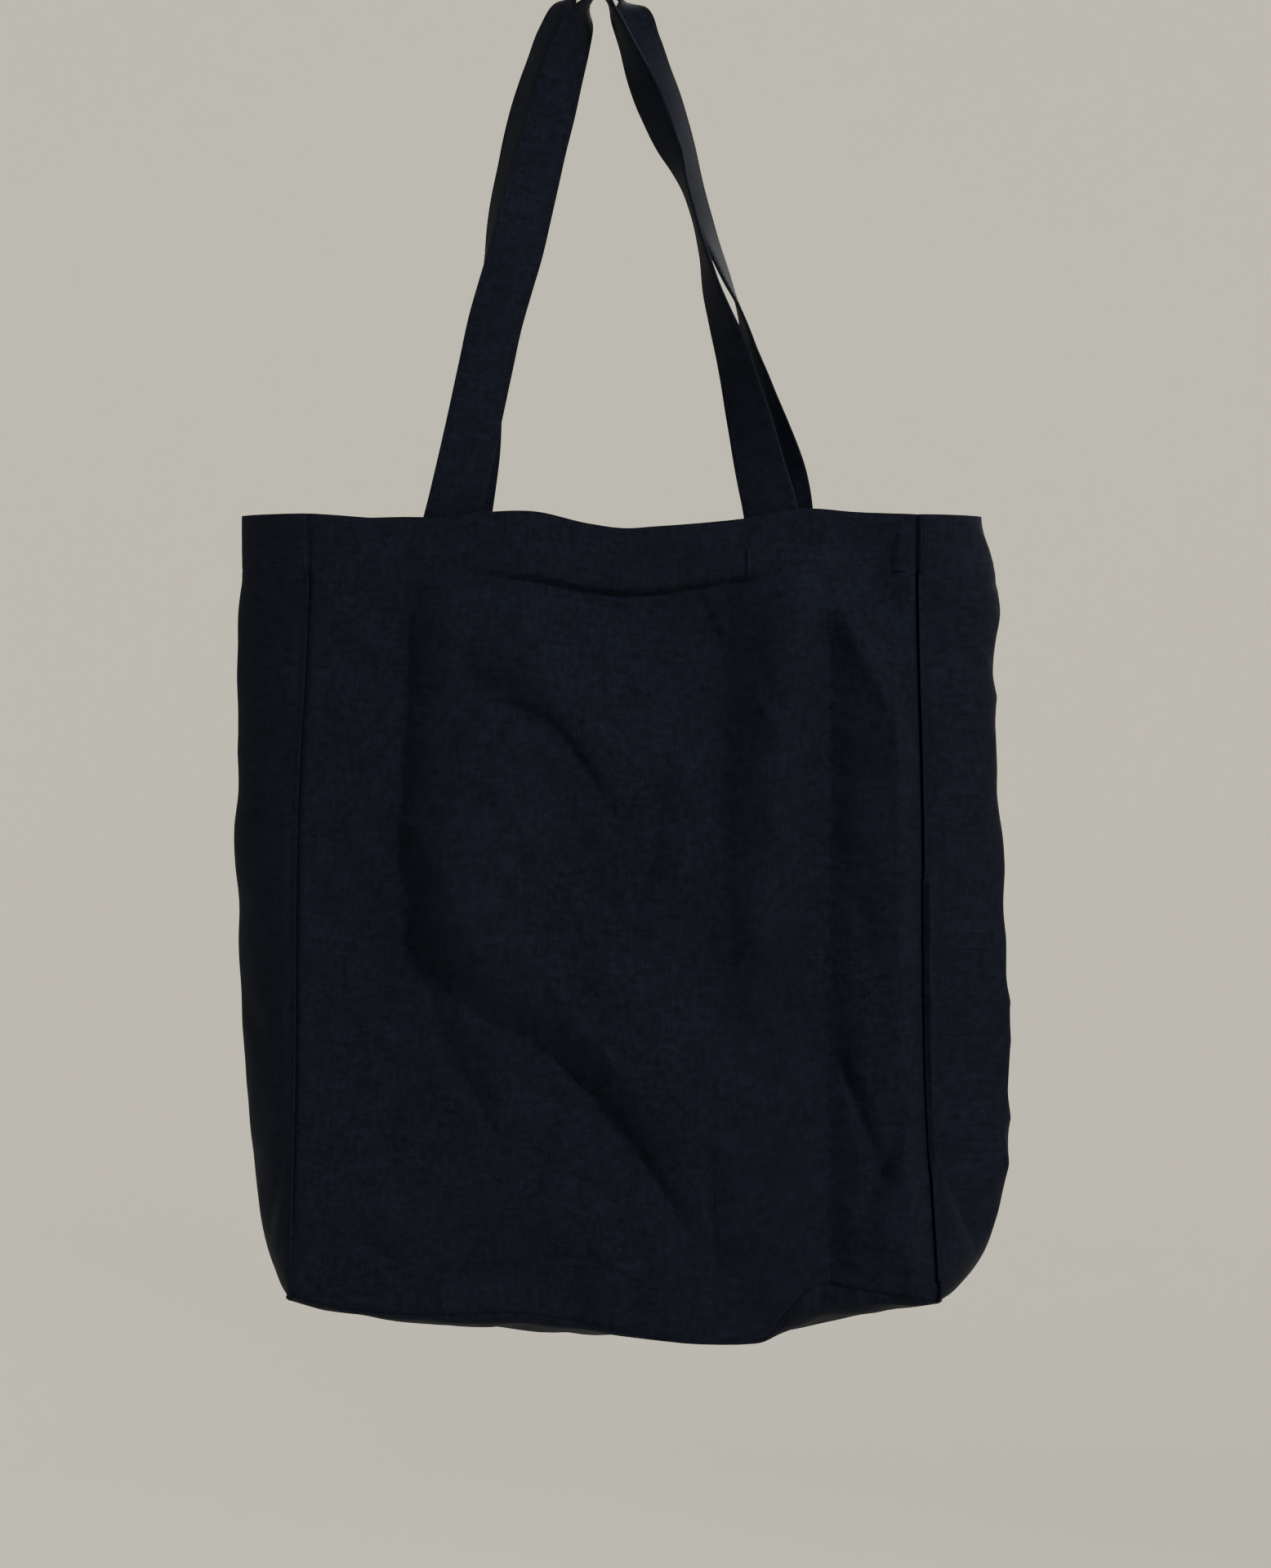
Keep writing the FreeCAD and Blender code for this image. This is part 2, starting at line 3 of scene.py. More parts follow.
import bpy
import numpy as np
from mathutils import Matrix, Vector


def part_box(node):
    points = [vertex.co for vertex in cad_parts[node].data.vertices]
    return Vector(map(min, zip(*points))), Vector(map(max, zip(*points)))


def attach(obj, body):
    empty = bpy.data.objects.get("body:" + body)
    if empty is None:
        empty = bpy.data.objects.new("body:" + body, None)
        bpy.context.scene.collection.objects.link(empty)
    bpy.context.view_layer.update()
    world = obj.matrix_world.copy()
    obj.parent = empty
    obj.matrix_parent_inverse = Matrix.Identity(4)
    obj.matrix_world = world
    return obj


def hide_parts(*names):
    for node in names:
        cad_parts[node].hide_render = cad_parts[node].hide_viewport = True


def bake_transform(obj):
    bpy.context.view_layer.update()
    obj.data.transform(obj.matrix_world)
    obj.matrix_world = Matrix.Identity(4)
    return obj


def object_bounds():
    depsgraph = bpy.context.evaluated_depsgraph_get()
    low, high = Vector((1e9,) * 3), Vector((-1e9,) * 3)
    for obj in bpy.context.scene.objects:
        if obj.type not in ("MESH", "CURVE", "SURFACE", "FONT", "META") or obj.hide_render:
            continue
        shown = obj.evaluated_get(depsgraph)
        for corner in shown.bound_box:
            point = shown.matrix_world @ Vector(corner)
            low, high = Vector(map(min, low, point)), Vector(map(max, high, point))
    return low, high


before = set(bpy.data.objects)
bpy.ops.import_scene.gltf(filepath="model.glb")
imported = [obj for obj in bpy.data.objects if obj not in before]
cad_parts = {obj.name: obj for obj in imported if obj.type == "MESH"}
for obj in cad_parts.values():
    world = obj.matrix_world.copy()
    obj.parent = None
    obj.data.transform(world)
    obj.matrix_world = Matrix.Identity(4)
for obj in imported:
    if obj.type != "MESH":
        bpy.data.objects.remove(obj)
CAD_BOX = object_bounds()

bl_info = {
    "name": "Canvas Tote Bag",
    "version": (1, 0, 0),
    "blender": (4, 5, 0),
    "location": "3D View > Sidebar > Tote Bag",
    "description": "Sews the cloth, straps and stitches of a hanging canvas tote bag around its frame",
    "category": "Add Mesh",
}

MM = 0.001
LEFT, RIGHT = -1, 1
FRONT, BACK = -1, 1
SIDE_NAMES = {LEFT: "left", RIGHT: "right"}
FACE_NAMES = {FRONT: "front", BACK: "back"}
BODY = "bag"


# The bag's outline, read from the frame's panels


def levels_of(node):
    """Heights of a panel's corners from the top down, with the ends of the panel at each."""
    points = np.array([vertex.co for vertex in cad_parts[node].data.vertices])
    low, high = points.min(axis=0), points.max(axis=0)
    found = []
    for z in sorted(set(np.round(points[:, 2], 4)), reverse=True):
        row = points[np.abs(points[:, 2] - z) < 0.2 * MM]
        left, right = row[row[:, 0].argmin()], row[row[:, 0].argmax()]
        if left[0] < low[0] + 12 * MM and right[0] > high[0] - 14 * MM:
            found.append((z, left[0], right[0], abs(left[1]), abs(right[1])))
    return np.array(found)


LEVELS = levels_of("front_panel")
RIM_Z, BASE_Z = LEVELS[0, 0], LEVELS[-1, 0]
CAD_MIDDLE = (CAD_BOX[0] + CAD_BOX[1]) / 2

# Flat sizes of the cut cloth: width and height of a panel, half the width of a gusset
WALL_SIZE = np.array([362 * MM, 432 * MM])
GUSSET_HALF, GUSSET_HEIGHT = 50 * MM, 430 * MM
HEM_HEIGHT = 31 * MM
CLOTH = 0.9 * MM

# How a gusset hangs: its drawn height, its hem, and how full its fold is (1 is a round one)
GUSSET_HUNG = 427 * MM
GUSSET_HEM = 30.3 * MM
GUSSET_BULGE = 1.3

# How far the cloth turns in to the upright seams, and over what distance
PINCH = {LEFT: 1.8 * MM, RIGHT: 4.2 * MM}
PINCH_WIDTH = 1.7 * MM

# Seeds of the small creases in each piece of cloth
WALL_SEED = {FRONT: 11, BACK: 41}
GUSSET_SEED = {LEFT: 71, RIGHT: 83}
BOTTOM_SEED = 97

# The straps and the stitches; a stitch is its length, the gap to the next and its radius
STRAP_HALF, STRAP_HALF_THICK = 15 * MM, 1.0 * MM
STRAP_AROUND = 64 * MM
STRAP_SEAM = 12 * MM
EDGE_STITCH = (2.3 * MM, 0.8 * MM, 0.24 * MM)
HEM_STITCH = (2.6 * MM, 0.7 * MM, 0.26 * MM)
BOX_STITCH = (2.4 * MM, 0.6 * MM, 0.25 * MM)
THREAD_LIFT = 0.12 * MM

# The stage: the floor's distance below the bag, the camera's aim and the longer side of its view
FLOOR_DROP = 0.75
CAMERA_AIM = Vector((0.0193, -0.03, -0.436))
VIEW_SIZE = 0.858


def smooth_curve(points, count=160):
    """A smooth curve through a few points, as two arrays for np.interp."""
    at = np.array([point[0] for point in points], float)
    value = np.array([point[1] for point in points], float)
    slope = np.gradient(value, at)
    places = np.linspace(at[0], at[-1], count)
    span = np.clip(np.searchsorted(at, places, side="right") - 1, 0, len(at) - 2)
    width = at[span + 1] - at[span]
    t = (places - at[span]) / width
    smooth = (value[span] * (2 * t**3 - 3 * t**2 + 1) + value[span + 1] * (3 * t**2 - 2 * t**3)
              + slope[span] * width * (t**3 - 2 * t**2 + t)
              + slope[span + 1] * width * (t**3 - t**2))
    return places, smooth


def through(points, places):
    """The smooth curve's values at some places."""
    at, value = smooth_curve(points)
    return np.interp(places, at, value)


def level_value(column, z):
    """A column of the levels, eased between them."""
    points = [(-row[0], row[column]) for row in LEVELS]
    return through(points, -np.asarray(z))


def seam_x(side, z):
    """Where the left or right upright seam is, along the bag."""
    return level_value(1 if side == LEFT else 2, z)


def half_depth(side, z):
    """How far a seam is from the bag's middle plane, front to back."""
    return level_value(3 if side == LEFT else 4, z)


def ease(value, low, high):
    """0 below low, 1 above high, and smooth between them."""
    t = np.clip((value - low) / (high - low), 0, 1)
    return t * t * (3 - 2 * t)


def bump(value, middle, width):
    """1 at the middle, falling off on both sides over the width."""
    return np.exp(-((value - middle) / width) ** 2)


def cloudy(x, z, size, seed):
    """Smooth noise from -1 to 1 with features of about the given size."""
    lattice = np.random.default_rng(seed).uniform(-1, 1, (64, 64))
    a, b = np.asarray(x) / size, np.asarray(z) / size
    i, j = np.floor(a).astype(int), np.floor(b).astype(int)
    s, t = a - i, b - j
    s, t = s * s * (3 - 2 * s), t * t * (3 - 2 * t)
    top = lattice[i % 64, j % 64] * (1 - s) + lattice[(i + 1) % 64, j % 64] * s
    low = lattice[i % 64, (j + 1) % 64] * (1 - s) + lattice[(i + 1) % 64, (j + 1) % 64] * s
    return top * (1 - t) + low * t


def creases_of_hand(x, z, seed):
    """The small crumples that canvas keeps after use."""
    wide = cloudy(x + 0.4 * z, z, 52 * MM, seed) * 1.5
    middle = cloudy(x - 0.3 * z, z + 0.2 * x, 21 * MM, seed + 1) * 0.62
    ridged = 1 - 2 * np.abs(cloudy(x + 0.6 * z, z - 0.3 * x, 33 * MM, seed + 2))
    fine = cloudy(x, z, 8 * MM, seed + 3) * 0.12
    return (wide * 1.5 + middle * 2.0 + 1.1 * ridged + fine) * MM


class Fold:
    """One fold of the cloth: a path across a panel and the profile over it.

    The path is in shares of the panel's width and height, and the rest in millimetres. A rise
    climbs from the path to its left-hand side (as one walks down it, the viewer's right) and sinks
    again over the distance far. A ridge stands out along the path; a negative one is a valley.
    """

    def __init__(self, path, rise=0.0, ridge=0.0, width=8.0, far=60.0, fade=(0.12, 0.12)):
        self.path, self.rise, self.ridge = path, rise * MM, ridge * MM
        self.width, self.far, self.fade = width * MM, far * MM, fade

    def height(self, u, v, size):
        """How far the fold makes each place of a piece of cloth of that size stand out."""
        pieces = 26
        ends = np.linspace(0, 1, len(self.path))
        places = np.linspace(0, 1, pieces + 1)
        px = through(list(zip(ends, [p[0] for p in self.path])), places) * size[0]
        py = through(list(zip(ends, [p[1] for p in self.path])), places) * size[1]
        x, y = u * size[0], v * size[1]
        distances, sides, alongs = [], [], []
        for k in range(pieces):
            dx, dy = px[k + 1] - px[k], py[k + 1] - py[k]
            t = np.clip(((x - px[k]) * dx + (y - py[k]) * dy) / (dx * dx + dy * dy), 0, 1)
            ox, oy = x - px[k] - t * dx, y - py[k] - t * dy
            distances.append(np.hypot(ox, oy))
            sides.append(np.sign(ox * dy - oy * dx))
            alongs.append((k + t) / pieces)
        distance = np.array(distances)
        # pieces that are about equally near share a point, so that a bend leaves no false crease
        weight = np.exp(-(distance - distance.min(axis=0)) / (3 * MM))
        weight /= weight.sum(axis=0)
        signed = (weight * distance * np.array(sides)).sum(axis=0)
        along = (weight * np.array(alongs)).sum(axis=0)
        strength = ease(along, 0, self.fade[0]) * (1 - ease(along, 1 - self.fade[1], 1))
        # the bank starts softly, a little before the path
        climb = np.clip(signed + 1.5 * MM, 0, None)
        soft = climb * climb / (climb + 2.5 * MM)
        bank = np.tanh(soft / self.width) * np.exp(-(climb / self.far) ** 2)
        valley = np.exp(-(signed / self.width) ** 2)
        return strength * (self.rise * bank + self.ridge * valley)


def strap_end_x(face, side):
    """Where the middle of a sewn strap end is, along the bag."""
    low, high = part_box("%s_%s_strap_end" % (FACE_NAMES[face], SIDE_NAMES[side]))
    return (low.x + high.x) / 2


def strap_share(side):
    """A front strap end's place as a share of the panel's width from the left seam."""
    left, right = seam_x(LEFT, RIM_Z), seam_x(RIGHT, RIM_Z)
    return float((strap_end_x(FRONT, side) - left) / (right - left))


# The upright folds of the front panel hang from the edges of the two sewn strap ends.
LEFT_CREASE = strap_share(LEFT) - 0.06
INNER_PLEAT = strap_share(RIGHT) - 0.07
OUTER_PLEAT = strap_share(RIGHT) + 0.08

# Places are shares of the panel's width (from the left seam) and height (from the rim).
FRONT_FOLDS = (
    # the upright crease under the left strap; it turns to the right below the middle, and the
    # cloth stands out beyond it
    Fold([(LEFT_CREASE, 0.0), (LEFT_CREASE, 0.45), (0.25, 0.60), (0.45, 0.70), (0.62, 0.87)],
         rise=24, width=26, far=95, fade=(0.05, 0.12)),
    Fold([(LEFT_CREASE, 0.10), (LEFT_CREASE, 0.50)], ridge=-2, width=3.5, fade=(0.1, 0.3)),
    Fold([(0.28, 0.45), (0.45, 0.62), (0.65, 0.78)], rise=-5, width=8, far=45, fade=(0.3, 0.3)),
    Fold([(0.38, 0.67), (0.50, 0.73), (0.62, 0.87)], ridge=-3, width=3.5, fade=(0.3, 0.1)),
    # two branches off its turn, and a short upright bank beside its foot
    Fold([(LEFT_CREASE, 0.48), (0.24, 0.65), (0.35, 0.82)], rise=10, width=15, far=36,
         fade=(0.15, 0.3)),
    Fold([(LEFT_CREASE, 0.38), (0.20, 0.52), (0.32, 0.62)], rise=12, width=34, far=90,
         fade=(0.25, 0.35)),
    Fold([(0.66, 0.72), (0.66, 0.92)], rise=9, width=12, far=34, fade=(0.3, 0.3)),
    # drag folds under the hem, between the straps, and the slack belly below them
    Fold([(0.42, 0.13), (0.52, 0.17), (0.58, 0.25)], ridge=4.5, width=9, fade=(0.2, 0.35)),
    Fold([(0.40, 0.10), (0.50, 0.15), (0.60, 0.17)], ridge=-2.5, width=3, fade=(0.1, 0.3)),
    Fold([(0.64, 0.09), (0.68, 0.16)], ridge=-4.5, width=4, fade=(0.1, 0.3)),
    Fold([(0.27, 0.10), (0.27, 0.25)], ridge=-3.5, width=14, fade=(0.3, 0.3)),
    Fold([(0.25, 0.20), (0.62, 0.20)], ridge=7, width=24, fade=(0.45, 0.45)),
    # slack creases in the middle
    Fold([(0.30, 0.23), (0.42, 0.27), (0.53, 0.38)], rise=11, width=11, far=40, fade=(0.25, 0.3)),
    Fold([(0.32, 0.24), (0.45, 0.30)], ridge=-3, width=5, fade=(0.3, 0.3)),
    Fold([(0.59, 0.28), (0.56, 0.42), (0.50, 0.55)], ridge=-5, width=7, fade=(0.2, 0.4)),
    # the inner pleat is a round ridge that leans inwards and dies out below the middle
    Fold([(INNER_PLEAT + 0.12, 0.05), (INNER_PLEAT + 0.07, 0.35), (INNER_PLEAT + 0.03, 0.70)],
         ridge=19, width=26, fade=(0.03, 0.4)),
    Fold([(INNER_PLEAT, 0.05), (INNER_PLEAT - 0.01, 0.40), (INNER_PLEAT + 0.02, 0.66)], rise=5,
         width=12, far=50, fade=(0.02, 0.3)),
    # the outer pleat runs down to the bottom
    Fold([(OUTER_PLEAT, 0.08), (OUTER_PLEAT + 0.01, 0.30), (OUTER_PLEAT - 0.01, 1.06)], rise=20,
         width=32, far=120, fade=(0.3, 0.02)),
    Fold([(OUTER_PLEAT, 0.08), (OUTER_PLEAT + 0.01, 0.30), (OUTER_PLEAT - 0.01, 1.06)], ridge=-4,
         width=11, fade=(0.3, 0.1)),
    Fold([(0.76, 0.58), (0.75, 1.04)], ridge=5, width=19, fade=(0.4, 0.02)),
    # drag folds from the right strap to the right seam
    Fold([(OUTER_PLEAT, 0.06), (0.93, 0.20), (1.0, 0.34)], ridge=6, width=13, fade=(0.15, 0.15)),
    Fold([(OUTER_PLEAT, 0.04), (0.90, 0.17), (1.0, 0.32)], rise=-14, width=16, far=60,
         fade=(0.1, 0.1)),
    # the crossed creases of the lower right corner
    Fold([(0.85, 0.68), (0.93, 0.87)], ridge=-6, width=6, fade=(0.3, 0.1)),
    Fold([(0.98, 0.72), (0.88, 0.93)], ridge=-6, width=7, fade=(0.2, 0.2)),
    Fold([(0.89, 0.45), (0.93, 0.70)], ridge=-3, width=11, fade=(0.3, 0.3)),
    # soft marks at the lower left
    Fold([(0.15, 0.72), (0.15, 0.86)], ridge=-3, width=6, fade=(0.3, 0.3)),
    Fold([(0.42, 0.75), (0.36, 0.87)], ridge=-3.5, width=6, fade=(0.3, 0.3)),
    Fold([(0.08, 0.90), (0.16, 0.93)], ridge=-4, width=8, fade=(0.3, 0.3)),
    Fold([(0.20, 0.95), (0.44, 0.97)], ridge=-1.5, width=10, fade=(0.3, 0.3)),
    Fold([(0.46, 0.86), (0.52, 1.02)], ridge=2.5, width=16, fade=(0.3, 0.3)),
)
BACK_FOLDS = (
    Fold([(0.21, 0.07), (0.20, 0.24), (0.24, 0.45), (0.33, 0.62)], rise=9, ridge=-1.5, width=9,
         fade=(0.05, 0.3)),
    Fold([(0.76, 0.07), (0.77, 0.30), (0.74, 0.55)], ridge=-6, width=10, fade=(0.1, 0.4)),
    Fold([(0.30, 0.09), (0.45, 0.14), (0.58, 0.24)], ridge=2.5, width=8, fade=(0.2, 0.4)),
    Fold([(0.80, 0.08), (0.90, 0.16), (0.98, 0.27)], ridge=2.6, width=7, fade=(0.1, 0.4)),
    Fold([(0.35, 0.50), (0.52, 0.62), (0.66, 0.80)], ridge=-5, width=13, fade=(0.3, 0.3)),
    Fold([(0.10, 0.62), (0.22, 0.76), (0.40, 0.86)], ridge=3.5, width=14, fade=(0.4, 0.4)),
    Fold([(0.62, 0.55), (0.66, 0.75), (0.62, 0.97)], ridge=4, width=16, fade=(0.3, 0.2)),
    Fold([(0.88, 0.62), (0.93, 0.78)], ridge=-3, width=6, fade=(0.3, 0.3)),
)

GUSSET_FOLDS = {
    LEFT: (
        Fold([(0.10, 0.10), (0.30, 0.17)], ridge=3, width=6, fade=(0.3, 0.4)),
        Fold([(0.10, 0.30), (0.30, 0.45)], ridge=-4, width=8, fade=(0.3, 0.4)),
        Fold([(0.45, 0.60), (0.12, 0.72)], ridge=-4, width=8, fade=(0.3, 0.3)),
        Fold([(0.05, 0.80), (0.32, 0.93)], ridge=-4, width=7, fade=(0.3, 0.2)),
        Fold([(0.85, 0.30), (0.62, 0.50)], ridge=-4, width=9, fade=(0.3, 0.3)),
    ),
    RIGHT: (
        Fold([(0.05, 0.10), (0.42, 0.13)], ridge=3.5, width=4, fade=(0.2, 0.3)),
        Fold([(0.05, 0.13), (0.42, 0.20)], ridge=4, width=5, fade=(0.2, 0.3)),
        Fold([(0.08, 0.20), (0.25, 0.30)], ridge=-4, width=7, fade=(0.3, 0.4)),
        Fold([(0.30, 0.42), (0.12, 0.60)], ridge=-3, width=8, fade=(0.3, 0.4)),
        Fold([(0.03, 0.72), (0.16, 0.84), (0.38, 0.93)], ridge=-13, width=9, fade=(0.25, 0.15)),
        Fold([(0.30, 0.76), (0.40, 0.86)], ridge=4, width=8, fade=(0.3, 0.3)),
        Fold([(0.90, 0.40), (0.65, 0.55)], ridge=-4, width=9, fade=(0.3, 0.3)),
    ),
}

# How the rim and the hem's lower edge run, in millimetres below the frame's rim, across a panel.
RIM_DROP = {
    FRONT: ((0, -1.0), (0.20, 1.9), (0.30, -1.8), (0.37, -2.0), (0.46, 4.6), (0.52, 7.2),
            (0.57, 6.2), (0.71, 2.2), (0.82, -3.6), (0.90, -1.6), (1.0, -0.6)),
    BACK: ((0, -1.0), (0.22, -1.6), (0.35, 2.8), (0.5, 5.4), (0.65, 3.0), (0.8, -2.0), (1.0, -0.6)),
}
HEM_DROP = {
    FRONT: ((0, 30.5), (0.18, 34.2), (0.28, 31.2), (0.38, 35.0), (0.48, 41.0), (0.54, 42.4),
            (0.64, 38.0), (0.74, 32.4), (0.80, 26.5), (0.88, 27.6), (1.0, 30.2)),
    BACK: ((0, 30.5), (0.22, 30.0), (0.35, 34.6), (0.5, 37.4), (0.65, 34.8), (0.8, 29.6),
           (1.0, 30.2)),
}
# How far the bottom edge of a panel hangs below the frame's bottom corners, across the panel.
BOTTOM_DROP = {
    FRONT: ((0, -1.0), (0.06, 5.0), (0.14, 8.8), (0.20, 10.2), (0.29, 9.6), (0.37, 9.5),
            (0.42, 12.5), (0.50, 19.0), (0.638, 25.4), (0.70, 25.2), (0.731, 23.5),
            (0.774, 5.0), (0.812, -6.5), (0.85, -5.5), (0.888, -3.5), (1.0, 1.6)),
    BACK: ((0, -1.0), (0.2, 9.0), (0.4, 16.0), (0.62, 18.0), (0.8, 10.0), (1.0, 1.6)),
}
# How far the bottom panel's middle hangs below the frame's bottom corners, along the bag.
SAG = ((0, 2.0), (0.06, 8.0), (0.15, 13.0), (0.30, 18.0), (0.42, 21.5), (0.52, 22.5),
       (0.64, 25.6), (0.72, 24.8), (0.80, 18.5), (0.87, 13.0), (0.94, 7.5), (1.0, 3.4))


def panel_edges(face, u):
    """Heights of a panel's rim and of its bottom edge."""
    rim = RIM_Z - through(RIM_DROP[face], u) * MM
    foot = BASE_Z - through(BOTTOM_DROP[face], u) * MM
    return rim, foot


def hem_height(face, u):
    """Height of the hem's lower edge."""
    return RIM_Z - through(HEM_DROP[face], u) * MM


def folded(face, u, v, rim, z, hem_line):
    """How far the large folds stand out: little in the hem, and most in the free cloth below it."""
    out = np.zeros_like(z)
    for fold in FRONT_FOLDS if face == FRONT else BACK_FOLDS:
        out += fold.height(u, v, WALL_SIZE)
    drape = 0.30 + 0.12 * ease(rim - z, 0, 30 * MM) + 0.46 * ease(hem_line - z, 0, 34 * MM)
    edge = np.minimum(u, 1 - u) * WALL_SIZE[0]
    return out * drape * ease(edge, 0, 16 * MM) * (1 - 0.6 * ease(v, 0.94, 1.0))


def hem_relief(u, z, hem_line, below):
    """The stiff hem bows out between the straps, and the cloth is drawn in under it."""
    span = ease(u, 0.22, 0.36) * (1 - ease(u, 0.68, 0.80))
    out = 4.2 * MM * span * (1 - ease(hem_line - z, -1.2 * MM, 2.0 * MM))
    under = np.clip(hem_line - z, 0, None)
    out -= 2.6 * MM * span * below * np.exp(-under / (16 * MM))
    out -= 1.2 * MM * bump(z, hem_line - 1.5 * MM, 3 * MM) * (0.3 + 0.7 * span)
    # one slow wave runs along the hem
    out += 1.0 * MM * np.sin(u * 9.5) * ease(z, hem_line, RIM_Z)
    # the row of stitches draws a narrow groove
    return out - 0.5 * MM * bump(z, hem_line + 2 * MM, 1.0 * MM)


def strap_imprint(face, x, z, below):
    """The strap ends inside the hem show through it."""
    out = np.zeros_like(z)
    for side, lean in ((LEFT, 0.30), (RIGHT, -0.05)):
        across = np.abs(x - strap_end_x(face, side) - (z - RIM_Z) * lean)
        out += 1.3 * MM * (1 - ease(across, 14.4 * MM, 16.2 * MM)) * (1 - below)
    return out


def wall_place(face, u, v):
    """Where a point of the front or back panel hangs. u runs from the left seam, v from the rim."""
    rim, foot = panel_edges(face, u)
    z = rim + (foot - rim) * v
    straight = RIM_Z + (BASE_Z - RIM_Z) * v
    left, right = seam_x(LEFT, straight), seam_x(RIGHT, straight)
    x = left + (right - left) * u
    depth = half_depth(LEFT, straight) * (1 - u) + half_depth(RIGHT, straight) * u
    # the middle of a slack bottom hangs nearer to the other panel than its corners do
    inner = np.sin(np.pi * np.clip(u, 0, 1)) ** 0.5
    depth = depth - 15 * MM * inner * ease(v, 0.84, 1.0)
    hem_line = hem_height(face, u)
    edge = np.minimum(u, 1 - u) * WALL_SIZE[0]
    free = ease(edge, 2 * MM, 26 * MM)
    below = ease(hem_line - z, -0.5 * MM, 12 * MM)
    out = folded(face, u, v, rim, z, hem_line)
    out += creases_of_hand(x, z, WALL_SEED[face]) * free * (0.35 + 0.65 * below)
    out += hem_relief(u, z, hem_line, below)
    out += strap_imprint(face, x, z, below)
    # the cloth turns in to the seams and rolls under at the bottom
    out -= (PINCH[LEFT] * (1 - u) + PINCH[RIGHT] * u) * np.exp(-edge / PINCH_WIDTH)
    out -= 2.2 * MM * np.exp(-(1 - v) * WALL_SIZE[1] / (2.2 * MM))
    return x, face * (depth + out), z


def gusset_place(side, u, v):
    """Where a point of a gusset hangs. u runs from the front seam to the back one."""
    straight = RIM_Z + (BASE_Z - RIM_Z) * v
    corner = 0 if side == LEFT else -1
    rim = RIM_Z - RIM_DROP[FRONT][corner][1] * MM
    foot = BASE_Z - BOTTOM_DROP[FRONT][corner][1] * MM
    z = rim + (foot - rim) * v
    depth = half_depth(side, straight)
    spread = np.sqrt(np.clip(GUSSET_HALF**2 - depth**2, 1e-8, None))
    # the gusset bulges a little, and the fold along its middle is round
    across = np.clip(2 * np.abs(u - 0.5), 0, 1)
    turn = np.pi / 2 * np.clip(1 - across, 0, 1)
    y = np.sign(u - 0.5) * depth * np.cos(turn) ** GUSSET_BULGE
    x = seam_x(side, straight) + side * spread * np.sin(turn) ** GUSSET_BULGE
    edge = np.minimum(u, 1 - u) * 2 * GUSSET_HALF
    free = ease(edge, 1 * MM, 16 * MM)
    out = creases_of_hand(y + 0.3, z, GUSSET_SEED[side]) * free * 1.2
    # a few slow waves run down it
    out += 1.6 * MM * np.sin(v * 21 + side) * bump(across, 0.25, 0.35) * ease(v, 0.1, 0.3) * 0.5
    # it is drawn in at the stitches of the hem and under them, and swells below
    hem_z = RIM_Z - GUSSET_HEM
    out += 2.2 * MM * bump(z, hem_z - 22 * MM, 11 * MM) * bump(across, 0.15, 0.3)
    out -= 0.9 * MM * bump(z, hem_z - 5 * MM, 5 * MM) * free
    out -= 0.8 * MM * bump(z, hem_z + 2 * MM, 1.0 * MM)
    y = y - np.sign(y) * PINCH[side] * np.exp(-edge / PINCH_WIDTH)
    out -= 1.5 * MM * np.exp(-(1 - v) * GUSSET_HUNG / (2 * MM))
    # wrinkles that run on from the panels' drag folds and corner creases
    for fold in GUSSET_FOLDS[side]:
        out += fold.height(u, v, (2 * GUSSET_HALF, GUSSET_HUNG)) * free
    # the left gusset hangs taut, and the right one is pushed out below its hem
    if side == LEFT:
        out = out * 0.5
    else:
        out += 7 * MM * bump(z, hem_z - 25 * MM, 45 * MM) * free * ease(RIM_Z - z, 0, 34 * MM)
    return x + side * out * 0.85, y, z


def bottom_place(u, v):
    """Where a point of the bottom panel hangs. u runs along the bag, v from front to back."""
    front = wall_place(FRONT, u, np.ones_like(u))
    back = wall_place(BACK, u, np.ones_like(u))
    left = gusset_place(LEFT, v, np.ones_like(v))
    right = gusset_place(RIGHT, v, np.ones_like(v))
    x_edge = front[0] * (1 - v) + back[0] * v
    x = x_edge + (left[0] - seam_x(LEFT, BASE_Z)) * (1 - ease(u, 0, 0.12))
    x = x + (right[0] - seam_x(RIGHT, BASE_Z)) * ease(u, 0.88, 1)
    y = front[1] * (1 - v) + back[1] * v
    z_edge = front[2] * (1 - v) + back[2] * v
    # lowest at the sag line, and dropping quickly from both long seams
    shape = (4 * v * (1 - v)) ** 0.34
    z_low = BASE_Z - through(SAG, u) * MM
    z = z_edge + (np.minimum(z_low, z_edge) - z_edge) * shape
    creases = creases_of_hand(x, y * 2 + 1.3, BOTTOM_SEED) * 0.8
    z = z + creases * shape * ease(np.minimum(u, 1 - u), 0, 0.05)
    return x, y, z


# Shader expressions


class Socket:
    """A value in a material, with operators that add the nodes they need."""

    def __init__(self, tree, source):
        self.tree, self.source = tree, source

    def node(self, kind, settings=None, output=0, **inputs):
        made = self.tree.nodes.new(kind)
        for name, value in (settings or {}).items():
            setattr(made, name, value)
        for name, value in inputs.items():
            key = int(name[1:]) if name[0] == "i" and name[1:].isdigit() else name.replace("_", " ")
            if isinstance(value, Socket):
                self.tree.links.new(value.source, made.inputs[key])
            else:
                made.inputs[key].default_value = value
        return Socket(self.tree, made.outputs[output])

    def math(self, operation, first, second=0.0):
        return self.node("ShaderNodeMath", {"operation": operation}, i0=first, i1=second)

    def __add__(self, other):
        return self.math("ADD", self, other)

    __radd__ = __add__

    def __sub__(self, other):
        return self.math("SUBTRACT", self, other)

    def __rsub__(self, other):
        return self.math("SUBTRACT", other, self)

    def __mul__(self, other):
        return self.math("MULTIPLY", self, other)

    __rmul__ = __mul__

    def smooth(self, low, high):
        return self.node("ShaderNodeMapRange", {"interpolation_type": "SMOOTHSTEP"},
                         i0=self, i1=low, i2=high)


